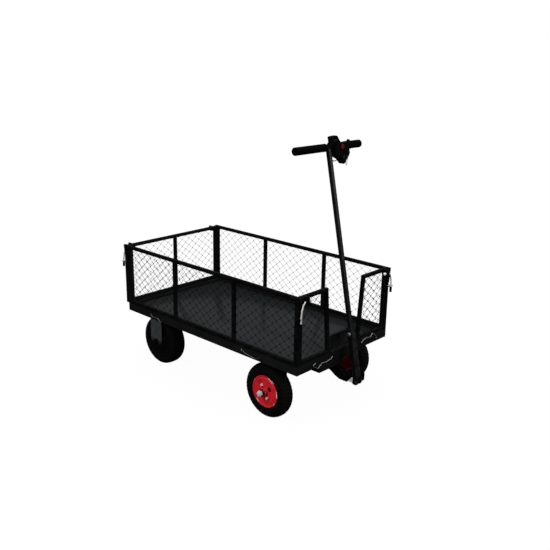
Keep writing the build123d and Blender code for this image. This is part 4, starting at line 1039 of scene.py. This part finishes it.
bm = bmesh.new()
turned(bm, [(3.4, 10.0), (4.0, 10.6), (4.0, 30.4), (3.4, 31.0)], H(0, 76.0, -46.0), XAX, 28)
bow = []
for k in range(28):
    a = 2 * math.pi * k / 28
    bow.append((40.5 + 9.5 * math.copysign(abs(math.cos(a)) ** 0.75, math.cos(a)), -46.0 + 9.0 * math.copysign(abs(math.sin(a)) ** 0.75, math.sin(a))))
hole = [(44.0 + 3.0 * math.cos(2 * math.pi * k / 28), -46.0 + 3.0 * math.sin(2 * math.pi * k / 28)) for k in range(28)]
loops = []
for y_, sc_ in ((74.8, 0.93), (75.2, 1.0), (76.8, 1.0), (77.2, 0.93)):
    loops.append([bm.verts.new(H(40.5 + (x - 40.5) * sc_, y_, -46.0 + (z + 46.0) * sc_)) for x, z in bow])
holes = [[bm.verts.new(H(x, y_, z)) for x, z in hole] for y_ in (77.2, 74.8)]
ring_ = loops + holes
for p, q in zip(ring_, ring_[1:] + ring_[:1]):
    for k in range(28):
        bm.faces.new((p[k], p[(k + 1) % 28], q[(k + 1) % 28], q[k]))
a = math.radians(28.0)
pts = []
for k in range(49):
    t = 2 * math.pi * k / 48
    # split ring in a plane turned 28 degrees about the upright
    s_ = 15.0 * math.cos(t)
    pts.append(H(44.0 + (-s_ * math.sin(a)) * 1.0, 76.0 + s_ * math.cos(a), -63.4 + 15.0 * math.sin(t)))
rg = sweep(bm, pts[:-1] + [pts[0]], 0.001, 10)
piece("ignition_key", bm, M["key"], 40.0)

# ---------------------------------------------------------------------------
# Woven wire mesh: interlocked zigzag strands in every bay
# ---------------------------------------------------------------------------
MESH_W, MESH_H, WIRE_R = 48.5, 39.5, 0.80
MZ0, MZ1 = 325.0, 602.0


def clip_run(pts, planes):
    """Pieces of a polyline inside a convex outline; points are (u, z, depth, thickness)."""
    runs, cur = [], []
    for a, c in zip(pts, pts[1:]):
        t0, t1 = 0.0, 1.0
        for nu, nz, k in planes:
            da = nu * a[0] + nz * a[1] - k
            dc = nu * c[0] + nz * c[1] - k
            if da > 0 and dc > 0:
                t0, t1 = 1.0, 0.0
                break
            if da > 0:
                t0 = max(t0, da / (da - dc))
            elif dc > 0:
                t1 = min(t1, da / (da - dc))
        if t0 >= t1:
            if len(cur) > 1:
                runs.append(cur)
            cur = []
            continue
        pa = tuple(a[i] + (c[i] - a[i]) * t0 for i in range(4))
        pc = tuple(a[i] + (c[i] - a[i]) * t1 for i in range(4))
        if not cur or t0 > 0:
            if len(cur) > 1:
                runs.append(cur)
            cur = [pa]
        cur.append(pc)
        if t1 < 1.0:
            runs.append(cur)
            cur = []
    if len(cur) > 1:
        runs.append(cur)
    return runs


def weave(bm, to_point, outline, uc, zc, wire_r):
    """Strands that cover a convex outline of (u, z) corners, anticlockwise."""
    planes = []
    n = len(outline)
    for i in range(n):
        (u0, z0), (u1, z1) = outline[i], outline[(i + 1) % n]
        nu, nz = (z1 - z0), -(u1 - u0)
        ln = math.hypot(nu, nz)
        nu, nz = nu / ln, nz / ln
        planes.append((nu, nz, nu * u0 + nz * z0 + 3.0))
    us = [q[0] for q in outline]
    zs = [q[1] for q in outline]
    hw, hh = MESH_W / 2, MESH_H / 2
    i0, i1 = int((min(us) - uc) / hw) - 2, int((max(us) - uc) / hw) + 2
    j0, j1 = int((min(zs) - zc) / hh) - 2, int((max(zs) - zc) / hh) + 2
    e, a = wire_r * 1.9, wire_r * 1.9
    for i in range(i0, i1 + 1):
        pts = []
        for j in range(j0, j1):
            left = (i + j) % 2 == 0
            ua = uc + i * hw + (-e if left else hw + e)
            ub = uc + i * hw + (hw + e if left else -e)
            za, zb = zc + j * hh, zc + (j + 1) * hh
            dep = a if left else -a
            pts.append((ua, za, 0.0, 2.2))
            for s in (0.055, 0.13, 0.87, 0.945):
                mid_ = 0.1 < s < 0.9
                pts.append((ua + (ub - ua) * (s if mid_ else (s * 0.6 if s < 0.5 else 1 - (1 - s) * 0.6)),
                            za + (zb - za) * s, dep * (1.0 if mid_ else 0.72), 1.0 if mid_ else 1.8))
        for run in clip_run(pts, planes):
            if sum(math.dist(p[:2], q[:2]) for p, q in zip(run, run[1:])) > 3.5:
                sweep(bm, [to_point(*q[:3]) for q in run], wire_r / 1000.0, n=7, scale=[q[3] for q in run])


def panel_mesh(cad, bays, to_point, wire_r=WIRE_R):
    bm = bmesh.new()
    for outline, uc in bays:
        weave(bm, to_point, outline, uc, (MZ0 + MZ1) / 2, wire_r)
    return piece(cad, bm, M["wire"], 70.0)


side_x = [(-574.0, -213.0), (-197.0, 197.0), (213.0, 574.0)]
rect = lambda a, c: [(a, MZ0), (c, MZ0), (c, MZ1), (a, MZ1)]
for name, y in (("right", -317.0), ("left", 317.0)):
    panel_mesh(name + "_panel_mesh", [(rect(a, c), (a + c) / 2) for a, c in side_x],
               lambda u_, z_, d_, y=y: V(u_, y + d_, z_), 0.55 if name == "left" else WIRE_R)
panel_mesh("rear_panel_mesh", [(rect(-285.5, -8.0), -147.0), (rect(8.0, 285.5), 147.0)],
           lambda u_, z_, d_: V(-584.0 + d_, u_, z_), 0.60)
gap = lambda z: 100.0 + 26.0 * (z - 308.0) / 310.0 + 16.6
trap = [(gap(MZ0), MZ0), (291.5, MZ0), (291.5, MZ1), (gap(MZ1), MZ1)]
panel_mesh("front_left_panel_mesh", [(trap, 200.0)], lambda u_, z_, d_: V(584.0 + d_, u_, z_))
panel_mesh("front_right_panel_mesh", [(trap, 200.0)], lambda u_, z_, d_: V(584.0 - d_, -u_, z_))
